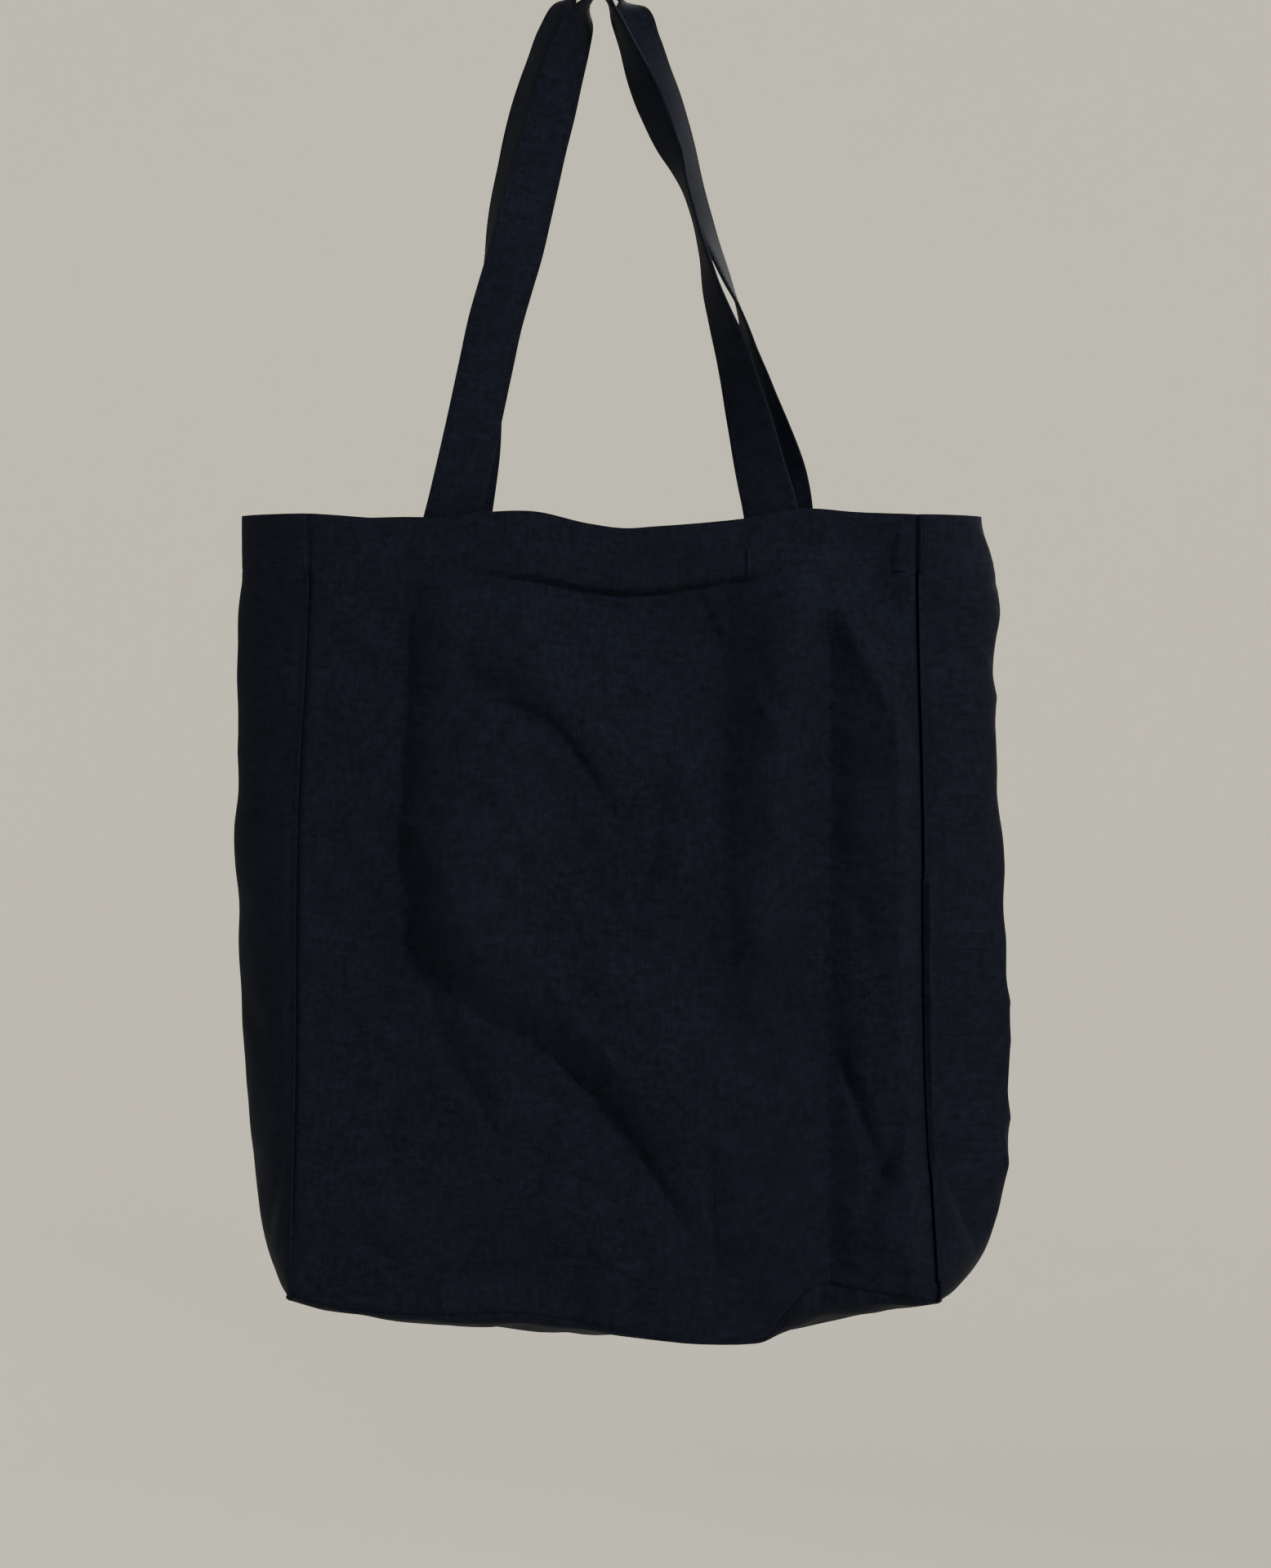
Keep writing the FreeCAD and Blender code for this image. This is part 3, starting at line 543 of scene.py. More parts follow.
def mix_colours(factor, first, second):
    """Runs from the first colour at a factor of 0 to the second at 1."""
    made = factor.tree.nodes.new("ShaderNodeMix")
    made.data_type = "RGBA"
    factor.tree.links.new(factor.source, made.inputs[0])
    for index, value in ((6, first), (7, second)):
        if isinstance(value, Socket):
            factor.tree.links.new(value.source, made.inputs[index])
        else:
            made.inputs[index].default_value = value
    return Socket(factor.tree, made.outputs[2])


def toned(colour, strength):
    """A darker or lighter tone of a colour."""
    return tuple(channel * strength for channel in colour) + (1,)


def new_material(name):
    """A material with nodes, its node tree and its surface shader."""
    material = bpy.data.materials.new(name)
    material.use_nodes = True
    tree = material.node_tree
    return material, tree, tree.nodes["Principled BSDF"]


def canvas_material(name, colour, pitch, lint_amount):
    """Plain-weave cotton: threads over and under, slubs, faded high spots and lint."""
    material, tree, shader = new_material(name)
    shader.inputs["Specular IOR Level"].default_value = 0.06
    shader.inputs["Sheen Weight"].default_value = 0.012
    shader.inputs["Sheen Roughness"].default_value = 0.45
    shader.inputs["Sheen Tint"].default_value = (0.50, 0.58, 0.75, 1)
    start = Socket(tree, None)
    place = start.node("ShaderNodeTexCoord", output=2)
    split = tree.nodes.new("ShaderNodeSeparateXYZ")
    tree.links.new(place.source, split.inputs[0])
    across, along = Socket(tree, split.outputs[0]), Socket(tree, split.outputs[1])
    slow = start.node("ShaderNodeTexNoise", Vector=place, Scale=14.0, Detail=4.0, Roughness=0.6)
    cloud = start.node("ShaderNodeTexNoise", Vector=place, Scale=260.0, Detail=5.0, Roughness=0.72)
    lint = start.node("ShaderNodeTexNoise", Vector=place, Scale=900.0, Detail=2.0, Roughness=0.6)
    # the weave's two sets of yarns, which wander a little
    turns = 2 * math.pi / pitch
    warp = start.math("SINE", across * turns + (slow - 0.5) * 9.0)
    weft = start.math("SINE", along * turns + (slow - 0.5) * 9.0)
    weave = warp * weft
    # slubs are noise drawn out along a yarn
    stretched = start.node("ShaderNodeMapping", i0=place, Scale=(1.0, 0.07, 1.0))
    slub_up = start.node("ShaderNodeTexNoise", Vector=stretched, Scale=900.0, Detail=2.0)
    flattened = start.node("ShaderNodeMapping", i0=place, Scale=(0.07, 1.0, 1.0))
    slub_over = start.node("ShaderNodeTexNoise", Vector=flattened, Scale=900.0, Detail=2.0)
    thread = (slub_up + slub_over) * 0.5
    blotch = start.node("ShaderNodeTexNoise", Vector=place, Scale=95.0, Detail=6.0, Roughness=0.7)
    shade = (cloud.smooth(0.34, 0.68) * 0.62 + thread.smooth(0.35, 0.65) * 0.46
             + weave * 0.08 + (slow - 0.5) * 0.6 + (blotch - 0.5) * 1.0 - 0.06)
    base = mix_colours(shade, toned(colour, 0.62), toned(colour, 1.75))
    base = mix_colours(lint.smooth(0.62, 0.78) * lint_amount, base, toned(colour, 4.2))
    tree.links.new(base.source, shader.inputs["Base Color"])
    rough = 0.84 + 0.12 * cloud
    tree.links.new(rough.source, shader.inputs["Roughness"])
    relief = weave * 0.32 + thread * 0.75 + cloud * 0.55
    bumped = start.node("ShaderNodeBump", Strength=0.55, Distance=0.35 * MM, Height=relief)
    tree.links.new(bumped.source, shader.inputs["Normal"])
    return material


def thread_material(name, colour):
    """Twisted sewing thread with a slight lustre."""
    material, tree, shader = new_material(name)
    shader.inputs["Roughness"].default_value = 0.6
    shader.inputs["Specular IOR Level"].default_value = 0.12
    start = Socket(tree, None)
    place = start.node("ShaderNodeTexCoord", output=3)
    twist = start.node("ShaderNodeTexNoise", Vector=place, Scale=1400.0, Detail=2.0)
    base = mix_colours(twist, toned(colour, 0.8), toned(colour, 1.5))
    tree.links.new(base.source, shader.inputs["Base Color"])
    bumped = start.node("ShaderNodeBump", Strength=0.5, Distance=0.1 * MM, Height=twist)
    tree.links.new(bumped.source, shader.inputs["Normal"])
    return material


def plain_material(name, colour, roughness):
    """Painted backdrop with a faint unevenness."""
    material, tree, shader = new_material(name)
    shader.inputs["Roughness"].default_value = roughness
    start = Socket(tree, None)
    place = start.node("ShaderNodeTexCoord", output=3)
    patch = start.node("ShaderNodeTexNoise", Vector=place, Scale=1.3, Detail=3.0)
    base = mix_colours(patch, toned(colour, 0.97), toned(colour, 1))
    tree.links.new(base.source, shader.inputs["Base Color"])
    return material


# Mesh helpers


def deselect():
    """Leaves edit mode and selects nothing."""
    if bpy.context.mode != "OBJECT":
        bpy.ops.object.mode_set(mode="OBJECT")
    bpy.ops.object.select_all(action="DESELECT")


def select_only(thing):
    """Makes one object the selected and active one."""
    deselect()
    thing.select_set(True)
    bpy.context.view_layer.objects.active = thing


def move_points(thing, points):
    """Puts a mesh's points at new places, in their own order."""
    thing.data.vertices.foreach_set("co", np.ascontiguousarray(points, dtype=np.float32).ravel())
    thing.data.update()


def mesh_points(thing):
    """Where a mesh's points are."""
    points = np.empty(len(thing.data.vertices) * 3)
    thing.data.vertices.foreach_get("co", points)
    return points.reshape(-1, 3)


def stretch_uv(thing, flat):
    """Stretches a grid's UV map to the cloth's flat size in metres."""
    layer = thing.data.uv_layers[0].data
    uv = np.empty(len(thing.data.loops) * 2)
    layer.foreach_get("uv", uv)
    layer.foreach_set("uv", (uv.reshape(-1, 2) * np.array(flat)).ravel())


def cloth_grid(name, columns, rows, place, flat, face_out):
    """A grid shaped by place(u, v), with its UV map in metres of flat cloth."""
    deselect()
    bpy.ops.mesh.primitive_grid_add(x_subdivisions=columns, y_subdivisions=rows, size=2,
                                    calc_uvs=True)
    sheet = bpy.context.active_object
    sheet.name = sheet.data.name = name
    flat_points = mesh_points(sheet)
    u, v = (flat_points[:, 0] + 1) / 2, (1 - flat_points[:, 1]) / 2
    x, y, z = place(u, v)
    move_points(sheet, np.stack([x, y, z], 1))
    stretch_uv(sheet, flat)
    if not face_out:
        select_only(sheet)
        bpy.ops.object.mode_set(mode="EDIT")
        bpy.ops.mesh.select_all(action="SELECT")
        bpy.ops.mesh.flip_normals()
        bpy.ops.object.mode_set(mode="OBJECT")
    return sheet


def thicken(thing, thickness, offset=-1.0):
    """Gives a sheet its thickness, inwards from its outer face."""
    select_only(thing)
    shell = thing.modifiers.new("thickness", "SOLIDIFY")
    shell.thickness = thickness
    shell.offset = offset
    bpy.ops.object.modifier_apply(modifier=shell.name)
    bpy.ops.object.shade_smooth_by_angle(angle=math.radians(50))


def finish_piece(thing, material, nodes, body=BODY):
    """Gives a piece its material, its body and the frame nodes it stands for."""
    thing.data.materials.clear()
    thing.data.materials.append(material)
    if body:
        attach(thing, body)
    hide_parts(*nodes)
    return thing


def kept_material(name, maker, *arguments):
    """The material of that name, made the first time it is asked for."""
    found = bpy.data.materials.get(name)
    return found if found else maker(name, *arguments)


def settings():
    return bpy.context.scene.tote_cloth


def canvas():
    cloth = settings()
    return kept_material("navy_canvas", canvas_material, tuple(cloth.colour), cloth.thread_pitch,
                         cloth.lint)


def sewing_thread():
    return kept_material("navy_thread", thread_material, tuple(settings().thread_colour))


# Stitches


def stitch_run(path, outward, length, gap, radius):
    """Points, directions and sizes of stitches along a path of points with outward normals."""
    steps = np.linalg.norm(np.diff(path, axis=0), axis=1)
    reach = np.concatenate([[0], np.cumsum(steps)])
    count = max(int(reach[-1] // (length + gap)), 1)
    centres = (np.arange(count) + 0.5) * reach[-1] / count
    found = []
    for centre in centres:
        ends = []
        for at in (centre - length / 2, centre + length / 2):
            ends.append([np.interp(at, reach, path[:, k]) for k in range(3)])
        normal = [np.interp(centre, reach, outward[:, k]) for k in range(3)]
        found.append((np.array(ends[0]), np.array(ends[1]), np.array(normal), radius))
    return found


def stitches_object(name, stitches):
    """One stitch, a rounded bar that dips into the cloth at its ends, copied along its rows."""
    deselect()
    bpy.ops.mesh.primitive_uv_sphere_add(segments=6, ring_count=4, radius=1)
    made = bpy.context.active_object
    made.name = made.data.name = name
    shape = mesh_points(made)
    bpy.ops.object.modifier_add(type="ARRAY")
    copies = made.modifiers[-1]
    copies.count = len(stitches)
    copies.use_relative_offset = False
    bpy.ops.object.modifier_apply(modifier=copies.name)
    start, end, normal = (np.array([stitch[k] for stitch in stitches]) for k in range(3))
    radius = np.array([stitch[3] for stitch in stitches])[:, None, None]
    along = (end - start) / np.linalg.norm(end - start, axis=1)[:, None]
    normal = normal - along * np.sum(normal * along, axis=1)[:, None]
    normal /= np.linalg.norm(normal, axis=1)[:, None]
    side = np.cross(normal, along)
    place = shape[None, :, :, None]
    fuller = np.maximum(np.hypot(place[:, :, 0], place[:, :, 1]), 1e-6) ** -0.6
    lift = 0.35 - 1.45 * place[:, :, 2] ** 2
    points = start[:, None] + (end - start)[:, None] * (place[:, :, 2] + 1) / 2
    points = points + side[:, None] * place[:, :, 0] * fuller * radius
    points = points + normal[:, None] * (place[:, :, 1] * fuller * 0.75 + lift) * radius
    move_points(made, points.reshape(-1, 3))
    bpy.ops.object.shade_smooth()
    return made


def surface_normals(place, u, v, small):
    """Unit normals of a placed surface, from points a small share away on either side."""
    du = np.stack(place(u + small, v), 1) - np.stack(place(u - small, v), 1)
    dv = np.stack(place(u, v + small), 1) - np.stack(place(u, v - small), 1)
    normal = np.cross(du, dv)
    return normal / np.linalg.norm(normal, axis=1)[:, None]


def sewn_row(place, u, v, axis, outward, stitch):
    """A row of stitches on a placed surface, whose outer face looks outward along an axis."""
    normal = surface_normals(place, u, v, 1e-3)
    normal *= np.sign(normal[:, axis:axis + 1]) * outward
    return stitch_run(np.stack(place(u, v), 1) + normal * THREAD_LIFT, normal, *stitch)


# Straps


FRONT_STATIONS = (
    # x, y, z in millimetres, and the turn of the outer face about the upright, in degrees
    (-88.0, -27.7, -317.0, 0), (-84.0, -28.9, -300.0, 0), (-79.8, -29.6, -284.0, 0),
    (-76.0, -29.9, -268.0, 0), (-68.8, -28.5, -236.0, 0), (-62.5, -25.6, -206.0, 0),
    (-57.6, -23.8, -183.0, 2), (-52.0, -22.0, -163.0, 5), (-45.2, -19.8, -140.0, 14),
    (-40.5, -18.0, -121.0, 21), (-35.8, -16.0, -102.0, 27), (-31.2, -14.5, -83.0, 32),
    (-26.3, -12.5, -64.0, 36), (-21.0, -11.0, -45.0, 44), (-15.0, -9.3, -26.0, 53),
    (-10.8, -8.5, -14.0, 64),
    "bend", (-6.0, -8.0, -3.6, -38), (-1.5, -8.0, 0.7, -70), (2.6, -8.0, -1.2, -135), "leg",
    (8.0, -8.0, -13.0, -83), (13.4, -8.5, -26.0, -78), (20.5, -9.5, -45.0, -68),
    (28.5, -11.5, -64.0, -65), (36.6, -13.5, -83.0, -71), (41.5, -14.5, -93.0, -78),
    (46.0, -16.0, -106.0, -88), (50.8, -17.5, -121.0, -90), (55.5, -19.0, -140.0, -87),
    (59.6, -21.0, -159.0, -78), (64.9, -23.0, -178.0, -70), (71.0, -25.0, -197.0, -60),
    (76.3, -27.0, -216.0, -51), (81.4, -29.0, -236.0, -40), (88.6, -30.0, -268.0, -22),
    (92.5, -29.8, -284.0, -9), (95.0, -28.9, -300.0, 0), (95.6, -27.7, -317.0, 0),
)
BACK_STATIONS = (
    (-78.0, 27.7, -317.0, 180), (-77.0, 28.9, -300.0, 180), (-75.5, 29.8, -284.0, 183),
    (-73.2, 29.9, -268.0, 189), (-69.2, 28.8, -240.0, 207), (-66.6, 26.5, -205.0, 231),
    (-66.6, 23.5, -168.0, 262), (-59.0, 18.5, -121.0, 284), (-50.5, 15.5, -86.0, 290),
    (-45.0, 13.5, -65.0, 292), (-37.0, 10.5, -39.0, 290), (-28.5, 9.0, -19.0, 291),
    (-19.5, 8.0, -5.5, 288),
    "bend", (-12.0, 8.0, 2.2, 128), (-3.0, 8.0, 5.8, 94), (6.0, 8.0, 4.0, 55),
    (11.5, 8.0, -1.0, 28), "leg",
    (15.2, 8.0, -8.0, 54), (24.0, 8.5, -25.0, 54), (33.0, 10.0, -45.0, 60),
    (40.8, 12.0, -64.0, 64), (46.8, 13.5, -83.0, 67), (52.0, 15.0, -105.0, 69),
    (56.6, 16.5, -121.0, 71), (63.8, 18.0, -140.0, 79), (71.8, 20.0, -159.0, 86),
    (76.4, 21.0, -170.0, 92), (79.6, 22.0, -180.0, 97), (82.6, 24.0, -197.0, 111),
    (88.0, 26.0, -216.0, 122), (93.8, 28.5, -236.0, 134), (101.5, 30.0, -268.0, 160),
    (103.4, 29.8, -284.0, 174), (103.6, 28.9, -300.0, 180), (103.6, 27.7, -317.0, 180),
)


def strap_frames(stations, spacing):
    """Distances along a strap, evenly spaced, with its centre, its width's direction and its
    outer face's direction at each."""
    centres, outs = [], []
    in_bend = False
    for station in stations:
        if isinstance(station, str):
            in_bend = station == "bend"
            continue
        x, y, z, angle = station
        angle = math.radians(angle)
        centres.append((x, y, z))
        if in_bend:
            outs.append((math.cos(angle), 0.0, math.sin(angle)))
        else:
            outs.append((math.sin(angle), -math.cos(angle), 0.0))
    centres, outs = np.array(centres) * MM, np.array(outs)
    reach = np.concatenate([[0], np.cumsum(np.linalg.norm(np.diff(centres, axis=0), axis=1))])
    count = int(reach[-1] / spacing)
    at = np.linspace(0, reach[-1], count)

    def smoothed(values):
        return np.stack([np.interp(at, *smooth_curve(list(zip(reach, values[:, k])), 1200))
                         for k in range(3)], 1)
    line, out = smoothed(centres), smoothed(outs)
    along = np.gradient(line, axis=0)
    along /= np.linalg.norm(along, axis=1)[:, None]
    out -= along * np.sum(out * along, axis=1)[:, None]
    out /= np.linalg.norm(out, axis=1)[:, None]
    width = np.cross(out, along)
    return at, line, width, out


def strap_profile(half_width, half_thick):
    """The outline of a folded strap: two faces with a row of stitches pressed into each edge."""
    points = []
    steps = 15
    for face in (1, -1):
        for k in range(steps):
            share = -1 + 2 * k / (steps - 1)
            x = share * (half_width - 0.7 * MM) * face
            plump = half_thick * (1 - 0.10 * abs(share) ** 3)
            groove = 0.32 * MM * bump(abs(x), half_width - 3 * MM, 1.0 * MM)
            points.append((x, face * (plump - groove)))
        edge = face * half_width
        points.append((edge, face * half_thick * 0.45))
        points.append((edge, -face * half_thick * 0.45))
    return points


def make_strap(name, stations, seed):
    """A strap swept along its stations, with its UV map in metres."""
    at, line, width, out = strap_frames(stations, 2.2 * MM)
    outline = strap_profile(STRAP_HALF, STRAP_HALF_THICK)
    ring = len(outline)
    deselect()
    bpy.ops.mesh.primitive_grid_add(x_subdivisions=ring, y_subdivisions=len(at) - 1, size=2,
                                    calc_uvs=True)
    strap = bpy.context.active_object
    strap.name = strap.data.name = name
    flat = mesh_points(strap)
    column = np.rint((flat[:, 0] + 1) / 2 * ring).astype(int) % ring
    row = np.rint((flat[:, 1] + 1) / 2 * (len(at) - 1)).astype(int)
    shape = np.array(outline)
    # the strap is never flat: it twists, ruffles and cups a little along its length
    wobble = cloudy(at, at * 0 + 0.5, 45 * MM, seed) * 0.5 * MM
    ruffle = cloudy(at, at * 0 + 3.1, 16 * MM, seed + 5) * 0.25 * MM
    cup = cloudy(at, at * 0 + 5.0, 60 * MM, seed + 9) * 0.9 * MM
    share = shape[column, 0] / STRAP_HALF
    lift = shape[column, 1] + wobble[row] * share + ruffle[row] + cup[row] * (share**2 - 0.4)
    move_points(strap, line[row] + width[row] * shape[column, 0][:, None] + out[row] * lift[:, None])
    stretch_uv(strap, (STRAP_AROUND, at[-1]))
    select_only(strap)
    bpy.ops.object.mode_set(mode="EDIT")
    bpy.ops.mesh.select_all(action="SELECT")
    bpy.ops.mesh.remove_doubles(threshold=1e-6)
    # close the two ends
    bpy.ops.mesh.select_all(action="DESELECT")
    bpy.ops.mesh.select_mode(type="EDGE")
    bpy.ops.mesh.select_non_manifold()
    bpy.ops.mesh.edge_face_add()
    bpy.ops.mesh.select_all(action="SELECT")
    bpy.ops.mesh.normals_make_consistent(inside=False)
    bpy.ops.object.mode_set(mode="OBJECT")
    bpy.ops.object.shade_smooth_by_angle(angle=math.radians(45))
    rows = []
    for edge in (-1, 1):
        for face in (-1, 1):
            normal = out * face
            middle = line + width * edge * STRAP_SEAM + normal * 0.86 * MM
            extra = (wobble * edge * 0.8 + ruffle + cup * (0.64 - 0.4))[:, None]
            middle = middle + out * extra
            rows += stitch_run(middle, normal, *EDGE_STITCH)
    threads = stitches_object(name + "_threads", rows)
    return strap, threads


def make_wall(face):
    """The front or back panel with its folds."""
    name = FACE_NAMES[face] + "_panel_cloth"
    sheet = cloth_grid(name, 190, 226, lambda u, v: wall_place(face, u, v), WALL_SIZE,
                       face == FRONT)
    thicken(sheet, CLOTH)
    finish_piece(sheet, canvas(), [FACE_NAMES[face] + "_panel"])
    return sheet


def make_gusset(side):
    """A side gusset, folded outwards."""
    name = SIDE_NAMES[side] + "_gusset_cloth"
    flat = (2 * GUSSET_HALF, GUSSET_HEIGHT)
    sheet = cloth_grid(name, 64, 200, lambda u, v: gusset_place(side, u, v), flat, side == RIGHT)
    thicken(sheet, CLOTH)
    finish_piece(sheet, canvas(), [SIDE_NAMES[side] + "_gusset"])
    return sheet


def make_bottom():
    """The bottom panel, sagging between the four seams."""
    flat = (WALL_SIZE[0], 2 * GUSSET_HALF)
    sheet = cloth_grid("bottom_panel_cloth", 170, 48, bottom_place, flat, False)
    thicken(sheet, CLOTH)
    finish_piece(sheet, canvas(), ["bottom_panel"])
    return sheet


def inward(place, distance):
    """The same surface, moved inwards along its normal."""
    def moved(u, v):
        x, y, z = place(u, v)
        normal = surface_normals(place, u, v, 2e-3)
        towards = np.stack([CAD_MIDDLE.x - x, 0 - y, 0 * z], 1)
        sign = np.sign(np.sum(normal * towards, axis=1))[:, None]
        return tuple((np.stack([x, y, z], 1) + normal * sign * distance).T)
    return moved


def make_hem(label, place, flat, columns, face_out, nodes):
    """The cloth folded inside the rim."""
    folded_in = inward(place, CLOTH + 0.15 * MM)

    def band(u, v):
        return folded_in(u * 0.985 + 0.0075, 0.0008 + v * HEM_HEIGHT / GUSSET_HEIGHT)
    sheet = cloth_grid(label, columns, 22, band, flat, face_out)
    thicken(sheet, 1.4 * MM)
    finish_piece(sheet, canvas(), nodes)
    return sheet


def make_allowance(label, place, columns, rows, face_out, body_nodes):
    """The two raw edges of a seam, pressed flat inside the bag."""
    strip = cloth_grid(label, columns, rows, place, (0.010, 0.4), face_out)
    thicken(strip, 1.3 * MM)
    finish_piece(strip, canvas(), body_nodes)
    return strip


def make_allowances():
    """The allowances of the four upright seams and of the four along the bottom."""
    layer = CLOTH + 0.2 * MM
    width = 9 * MM
    for side in (LEFT, RIGHT):
        inside = inward(lambda u, v: gusset_place(side, u, v), layer)
        for face in (FRONT, BACK):
            near = (1.6 * MM) / (2 * GUSSET_HALF)
            far = near + width / (2 * GUSSET_HALF)

            def upright(u, v, inside=inside, near=near, far=far, face=face):
                across = near + (far - near) * u
                return inside(across if face == FRONT else 1 - across, 0.075 + 0.90 * v)
            name = "%s_%s_seam" % (FACE_NAMES[face], SIDE_NAMES[side])
            make_allowance(name + "_cloth", upright, 4, 120, side == face, [name])

        def short(u, v, inside=inside):
            return inside(0.12 + 0.76 * u, 0.972 + 0.022 * v)
        name = SIDE_NAMES[side] + "_bottom_seam"
        make_allowance(name + "_cloth", short, 30, 4, side == RIGHT, [name])
    for face in (FRONT, BACK):
        inside = inward(lambda u, v: wall_place(face, u, v), layer)

        def long(u, v, inside=inside):
            return inside(0.03 + 0.94 * u, 0.972 + 0.022 * v)
        name = FACE_NAMES[face] + "_bottom_seam"
        make_allowance(name + "_cloth", long, 120, 4, face == FRONT, [name])


def stitch_lines():
    """The rows of stitches along the hem, one per panel and gusset, just above its lower edge."""
    u = np.linspace(0.006, 0.994, 400)
    above = 2 * MM
    for face in (FRONT, BACK):
        rim, foot = panel_edges(face, u)
        v = (hem_height(face, u) + above - rim) / (foot - rim)
        run = sewn_row(lambda a, b: wall_place(face, a, b), u, v, 1, face, HEM_STITCH)
        made = stitches_object(FACE_NAMES[face] + "_hem_threads", run)
        finish_piece(made, sewing_thread(), [FACE_NAMES[face] + "_hem_stitching"])
    for side in (LEFT, RIGHT):
        v = np.full(len(u), (GUSSET_HEM - above) / GUSSET_HUNG)
        run = sewn_row(lambda a, b: gusset_place(side, a, b), u, v, 0, side, HEM_STITCH)
        made = stitches_object(SIDE_NAMES[side] + "_hem_threads", run)
        finish_piece(made, sewing_thread(), [SIDE_NAMES[side] + "_hem_stitching"])


def box_stitch(face, side):
    """The square with a cross that holds a strap end."""
    label = "%s_%s_box_stitch" % (FACE_NAMES[face], SIDE_NAMES[side])
    low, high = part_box(label)
    middle_x, middle_z = (low.x + high.x) / 2, (low.z + high.z) / 2 - 0.5 * MM
    half = 11.5 * MM
    corners = [(-half, -half), (half, -half), (half, half), (-half, half)]
    lines = [(corners[k], corners[(k + 1) % 4]) for k in range(4)]
    lines += [(corners[0], corners[2]), (corners[1], corners[3])]
    run = []
    for start, end in lines:
        share = np.linspace(0, 1, 40)
        x = middle_x + start[0] + (end[0] - start[0]) * share
        z = middle_z + start[1] + (end[1] - start[1]) * share
        left, right = seam_x(LEFT, z), seam_x(RIGHT, z)
        u = (x - left) / (right - left)
        rim, foot = panel_edges(face, u)
        v = np.clip((z - rim) / (foot - rim), 0.002, 1)
        run += sewn_row(lambda a, b: wall_place(face, a, b), u, v, 1, face, BOX_STITCH)
    made = stitches_object(label + "_threads", run)
    finish_piece(made, sewing_thread(), [label])


# Settings a user can change


class ToteCloth(bpy.types.PropertyGroup):
    """Colours and weave of the cloth."""
    colour: bpy.props.FloatVectorProperty(
        name="Canvas colour", description="Colour of the dyed canvas", subtype="COLOR", size=3,
        default=(0.0028, 0.0036, 0.0074), min=0, max=1)
    thread_colour: bpy.props.FloatVectorProperty(
        name="Thread colour", description="Colour of the sewing thread", subtype="COLOR", size=3,
        default=(0.0016, 0.0020, 0.0034), min=0, max=1)
    thread_pitch: bpy.props.FloatProperty(
        name="Thread pitch", description="Distance from one yarn of the weave to the next but one",
        default=0.0016, min=0.0004, max=0.005, unit="LENGTH")
    lint: bpy.props.FloatProperty(
        name="Lint", description="How much pale lint lies on the cloth", default=0.25, min=0,
        max=1, subtype="FACTOR")


class ToteStage(bpy.types.PropertyGroup):
    """The backdrop and the camera."""
    backdrop: bpy.props.FloatVectorProperty(
        name="Backdrop", description="Colour of the floor and wall", subtype="COLOR", size=3,
        default=(0.80, 0.775, 0.68), min=0, max=1)
    distance: bpy.props.FloatProperty(
        name="Camera distance", description="Distance from the camera to the bag", default=3.0,
        min=0.5, max=5, unit="LENGTH")


class TOTE_OT_walls(bpy.types.Operator):
    """Sews the front and back panels."""
    bl_idname = "tote.walls"
    bl_label = "Panels"

    def execute(self, context):
        for face in (FRONT, BACK):
            make_wall(face)
        return {"FINISHED"}


class TOTE_OT_gussets(bpy.types.Operator):
    """Folds the two side gussets and hangs the bottom panel."""
    bl_idname = "tote.gussets"
    bl_label = "Gussets and Bottom"

    def execute(self, context):
        for side in (LEFT, RIGHT):
            make_gusset(side)
        make_bottom()
        make_allowances()
        return {"FINISHED"}


class TOTE_OT_hems(bpy.types.Operator):
    """Turns the rim in and sews it."""
    bl_idname = "tote.hems"
    bl_label = "Hems"

    def execute(self, context):
        for face in (FRONT, BACK):
            make_hem(FACE_NAMES[face] + "_hem_cloth", lambda u, v: wall_place(face, u, v),
                     (WALL_SIZE[0], HEM_HEIGHT), 120, face == FRONT, [FACE_NAMES[face] + "_hem"])
        for side in (LEFT, RIGHT):
            make_hem(SIDE_NAMES[side] + "_gusset_hem_cloth",
                     lambda u, v: gusset_place(side, u, v), (2 * GUSSET_HALF, HEM_HEIGHT), 48,
                     side == RIGHT, [SIDE_NAMES[side] + "_gusset_hem"])
        stitch_lines()
        return {"FINISHED"}


class TOTE_OT_handles(bpy.types.Operator):
    """Hangs the two handle straps and sews their ends inside the hem."""
    bl_idname = "tote.handles"
    bl_label = "Handles"

    def execute(self, context):
        for face, stations in ((FRONT, FRONT_STATIONS), (BACK, BACK_STATIONS)):
            body = FACE_NAMES[face] + "_handle"
            strap, threads = make_strap(body + "_cloth", stations, 7 + face)
            ends = ["%s_%s_strap_end" % (FACE_NAMES[face], side) for side in ("left", "right")]
            finish_piece(strap, canvas(), [body + "_strap"] + ends, None)
            finish_piece(threads, sewing_thread(), [body + "_stitching"], None)
            for piece in (strap, threads):
                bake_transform(piece)
            for side in (LEFT, RIGHT):
                box_stitch(face, side)
        return {"FINISHED"}


class TOTE_OT_stage(bpy.types.Operator):
    """Sets up the floor, the lights and the camera."""
    bl_idname = "tote.stage"
    bl_label = "Stage"

    def execute(self, context):
        stage = context.scene.tote_stage
        build_stage(tuple(stage.backdrop), stage.distance)
        return {"FINISHED"}


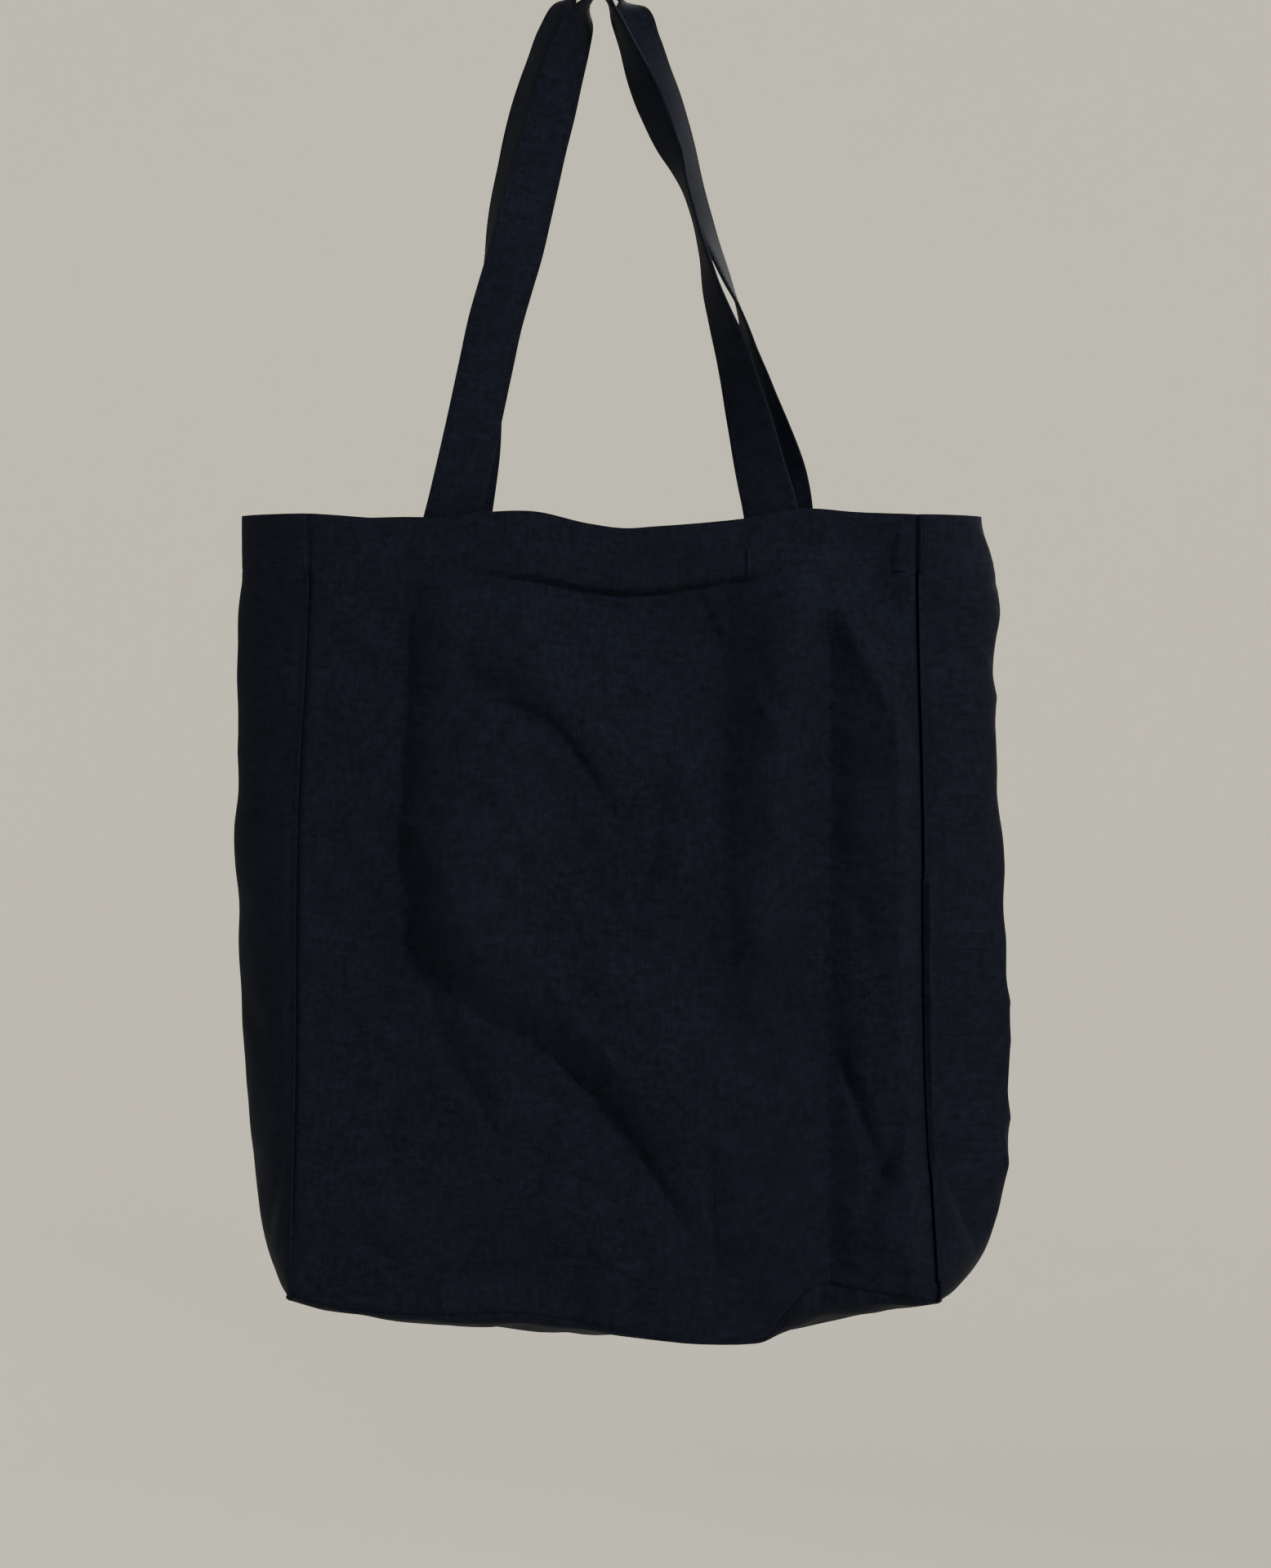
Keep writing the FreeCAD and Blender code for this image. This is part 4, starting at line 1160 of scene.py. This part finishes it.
def build_stage(colour, distance):
    """A round, seamless floor and wall with an open top, soft lights and the camera."""
    deselect()
    floor_z = CAD_BOX[0].z - FLOOR_DROP
    # the floor's radius and height, from its middle out to the wall and up
    profile = [(0.0, 0.0), (3.4, 0.0), (3.8, 0.03), (4.2, 0.16), (4.5, 0.42), (4.68, 0.8),
               (4.75, 1.3), (4.75, 5.0)]
    bpy.ops.mesh.primitive_grid_add(x_subdivisions=96, y_subdivisions=len(profile) - 1, size=2)
    bowl = bpy.context.active_object
    bowl.name = "backdrop"
    flat = mesh_points(bowl)
    turn = (flat[:, 0] + 1) * math.pi
    row = np.rint((flat[:, 1] + 1) / 2 * (len(profile) - 1)).astype(int)
    reach, height = np.array(profile)[row].T
    move_points(bowl, np.stack([reach * np.cos(turn), reach * np.sin(turn), floor_z + height], 1))
    select_only(bowl)
    bpy.ops.object.mode_set(mode="EDIT")
    bpy.ops.mesh.select_all(action="SELECT")
    bpy.ops.mesh.remove_doubles(threshold=1e-4)
    bpy.ops.mesh.normals_make_consistent(inside=True)
    bpy.ops.object.mode_set(mode="OBJECT")
    bpy.ops.object.shade_smooth()
    bowl.data.materials.append(kept_material("backdrop_paint", plain_material, colour, 0.9))
    # name, place, size in metres, power in watts and tint
    lights = (
        ("key", (1.45, -1.75, CAD_MIDDLE.z + 1.2), 0.7, 88.0, (1.0, 0.97, 0.92)),
        ("fill", (-2.2, -1.7, CAD_MIDDLE.z - 0.1), 1.6, 17.0, (0.92, 0.96, 1.0)),
        ("back", (1.1, 2.3, CAD_MIDDLE.z + 1.4), 1.6, 95.0, (1.0, 0.98, 0.95)),
    )
    for name, place, size, power, tint in lights:
        lamp = bpy.data.lights.new(name, "AREA")
        lamp.shape = "DISK"
        lamp.size = size
        lamp.energy = power
        lamp.color = tint
        holder = bpy.data.objects.new(name, lamp)
        holder.location = place
        aim = CAD_MIDDLE - Vector(place)
        holder.rotation_euler = aim.to_track_quat("-Z", "Y").to_euler()
        bpy.context.scene.collection.objects.link(holder)
    world = bpy.data.worlds.new("studio")
    world.use_nodes = True
    sky = world.node_tree.nodes["Background"]
    sky.inputs["Color"].default_value = (0.98, 0.98, 1.0, 1)
    sky.inputs["Strength"].default_value = 0.8
    bpy.context.scene.world = world
    lens = bpy.data.cameras.new("camera")
    camera = bpy.data.objects.new("camera", lens)
    bpy.context.scene.collection.objects.link(camera)
    camera.location = CAMERA_AIM + Vector((0, -distance, 0))
    camera.rotation_euler = (math.radians(90), 0, 0)
    lens.lens = lens.sensor_width * distance / VIEW_SIZE
    bpy.context.scene.camera = camera


class TOTE_PT_panel(bpy.types.Panel):
    """The settings, and a button for each step of the work."""
    bl_label = "Tote Bag"
    bl_idname = "TOTE_PT_panel"
    bl_space_type = "VIEW_3D"
    bl_region_type = "UI"
    bl_category = "Tote Bag"

    def draw(self, context):
        for group in (context.scene.tote_cloth, context.scene.tote_stage):
            for name in group.__annotations__:
                self.layout.prop(group, name)
        for operator in OPERATORS:
            self.layout.operator(operator.bl_idname)


OPERATORS = (TOTE_OT_walls, TOTE_OT_gussets, TOTE_OT_hems, TOTE_OT_handles, TOTE_OT_stage)
CLASSES = (ToteCloth, ToteStage) + OPERATORS + (TOTE_PT_panel,)


def register():
    for item in CLASSES:
        bpy.utils.register_class(item)
    bpy.types.Scene.tote_cloth = bpy.props.PointerProperty(type=ToteCloth)
    bpy.types.Scene.tote_stage = bpy.props.PointerProperty(type=ToteStage)


def unregister():
    del bpy.types.Scene.tote_stage
    del bpy.types.Scene.tote_cloth
    for item in reversed(CLASSES):
        bpy.utils.unregister_class(item)


def main():
    register()
    bpy.ops.tote.walls()
    bpy.ops.tote.gussets()
    bpy.ops.tote.hems()
    bpy.ops.tote.handles()
    bpy.ops.tote.stage()


if __name__ == "__main__":
    main()
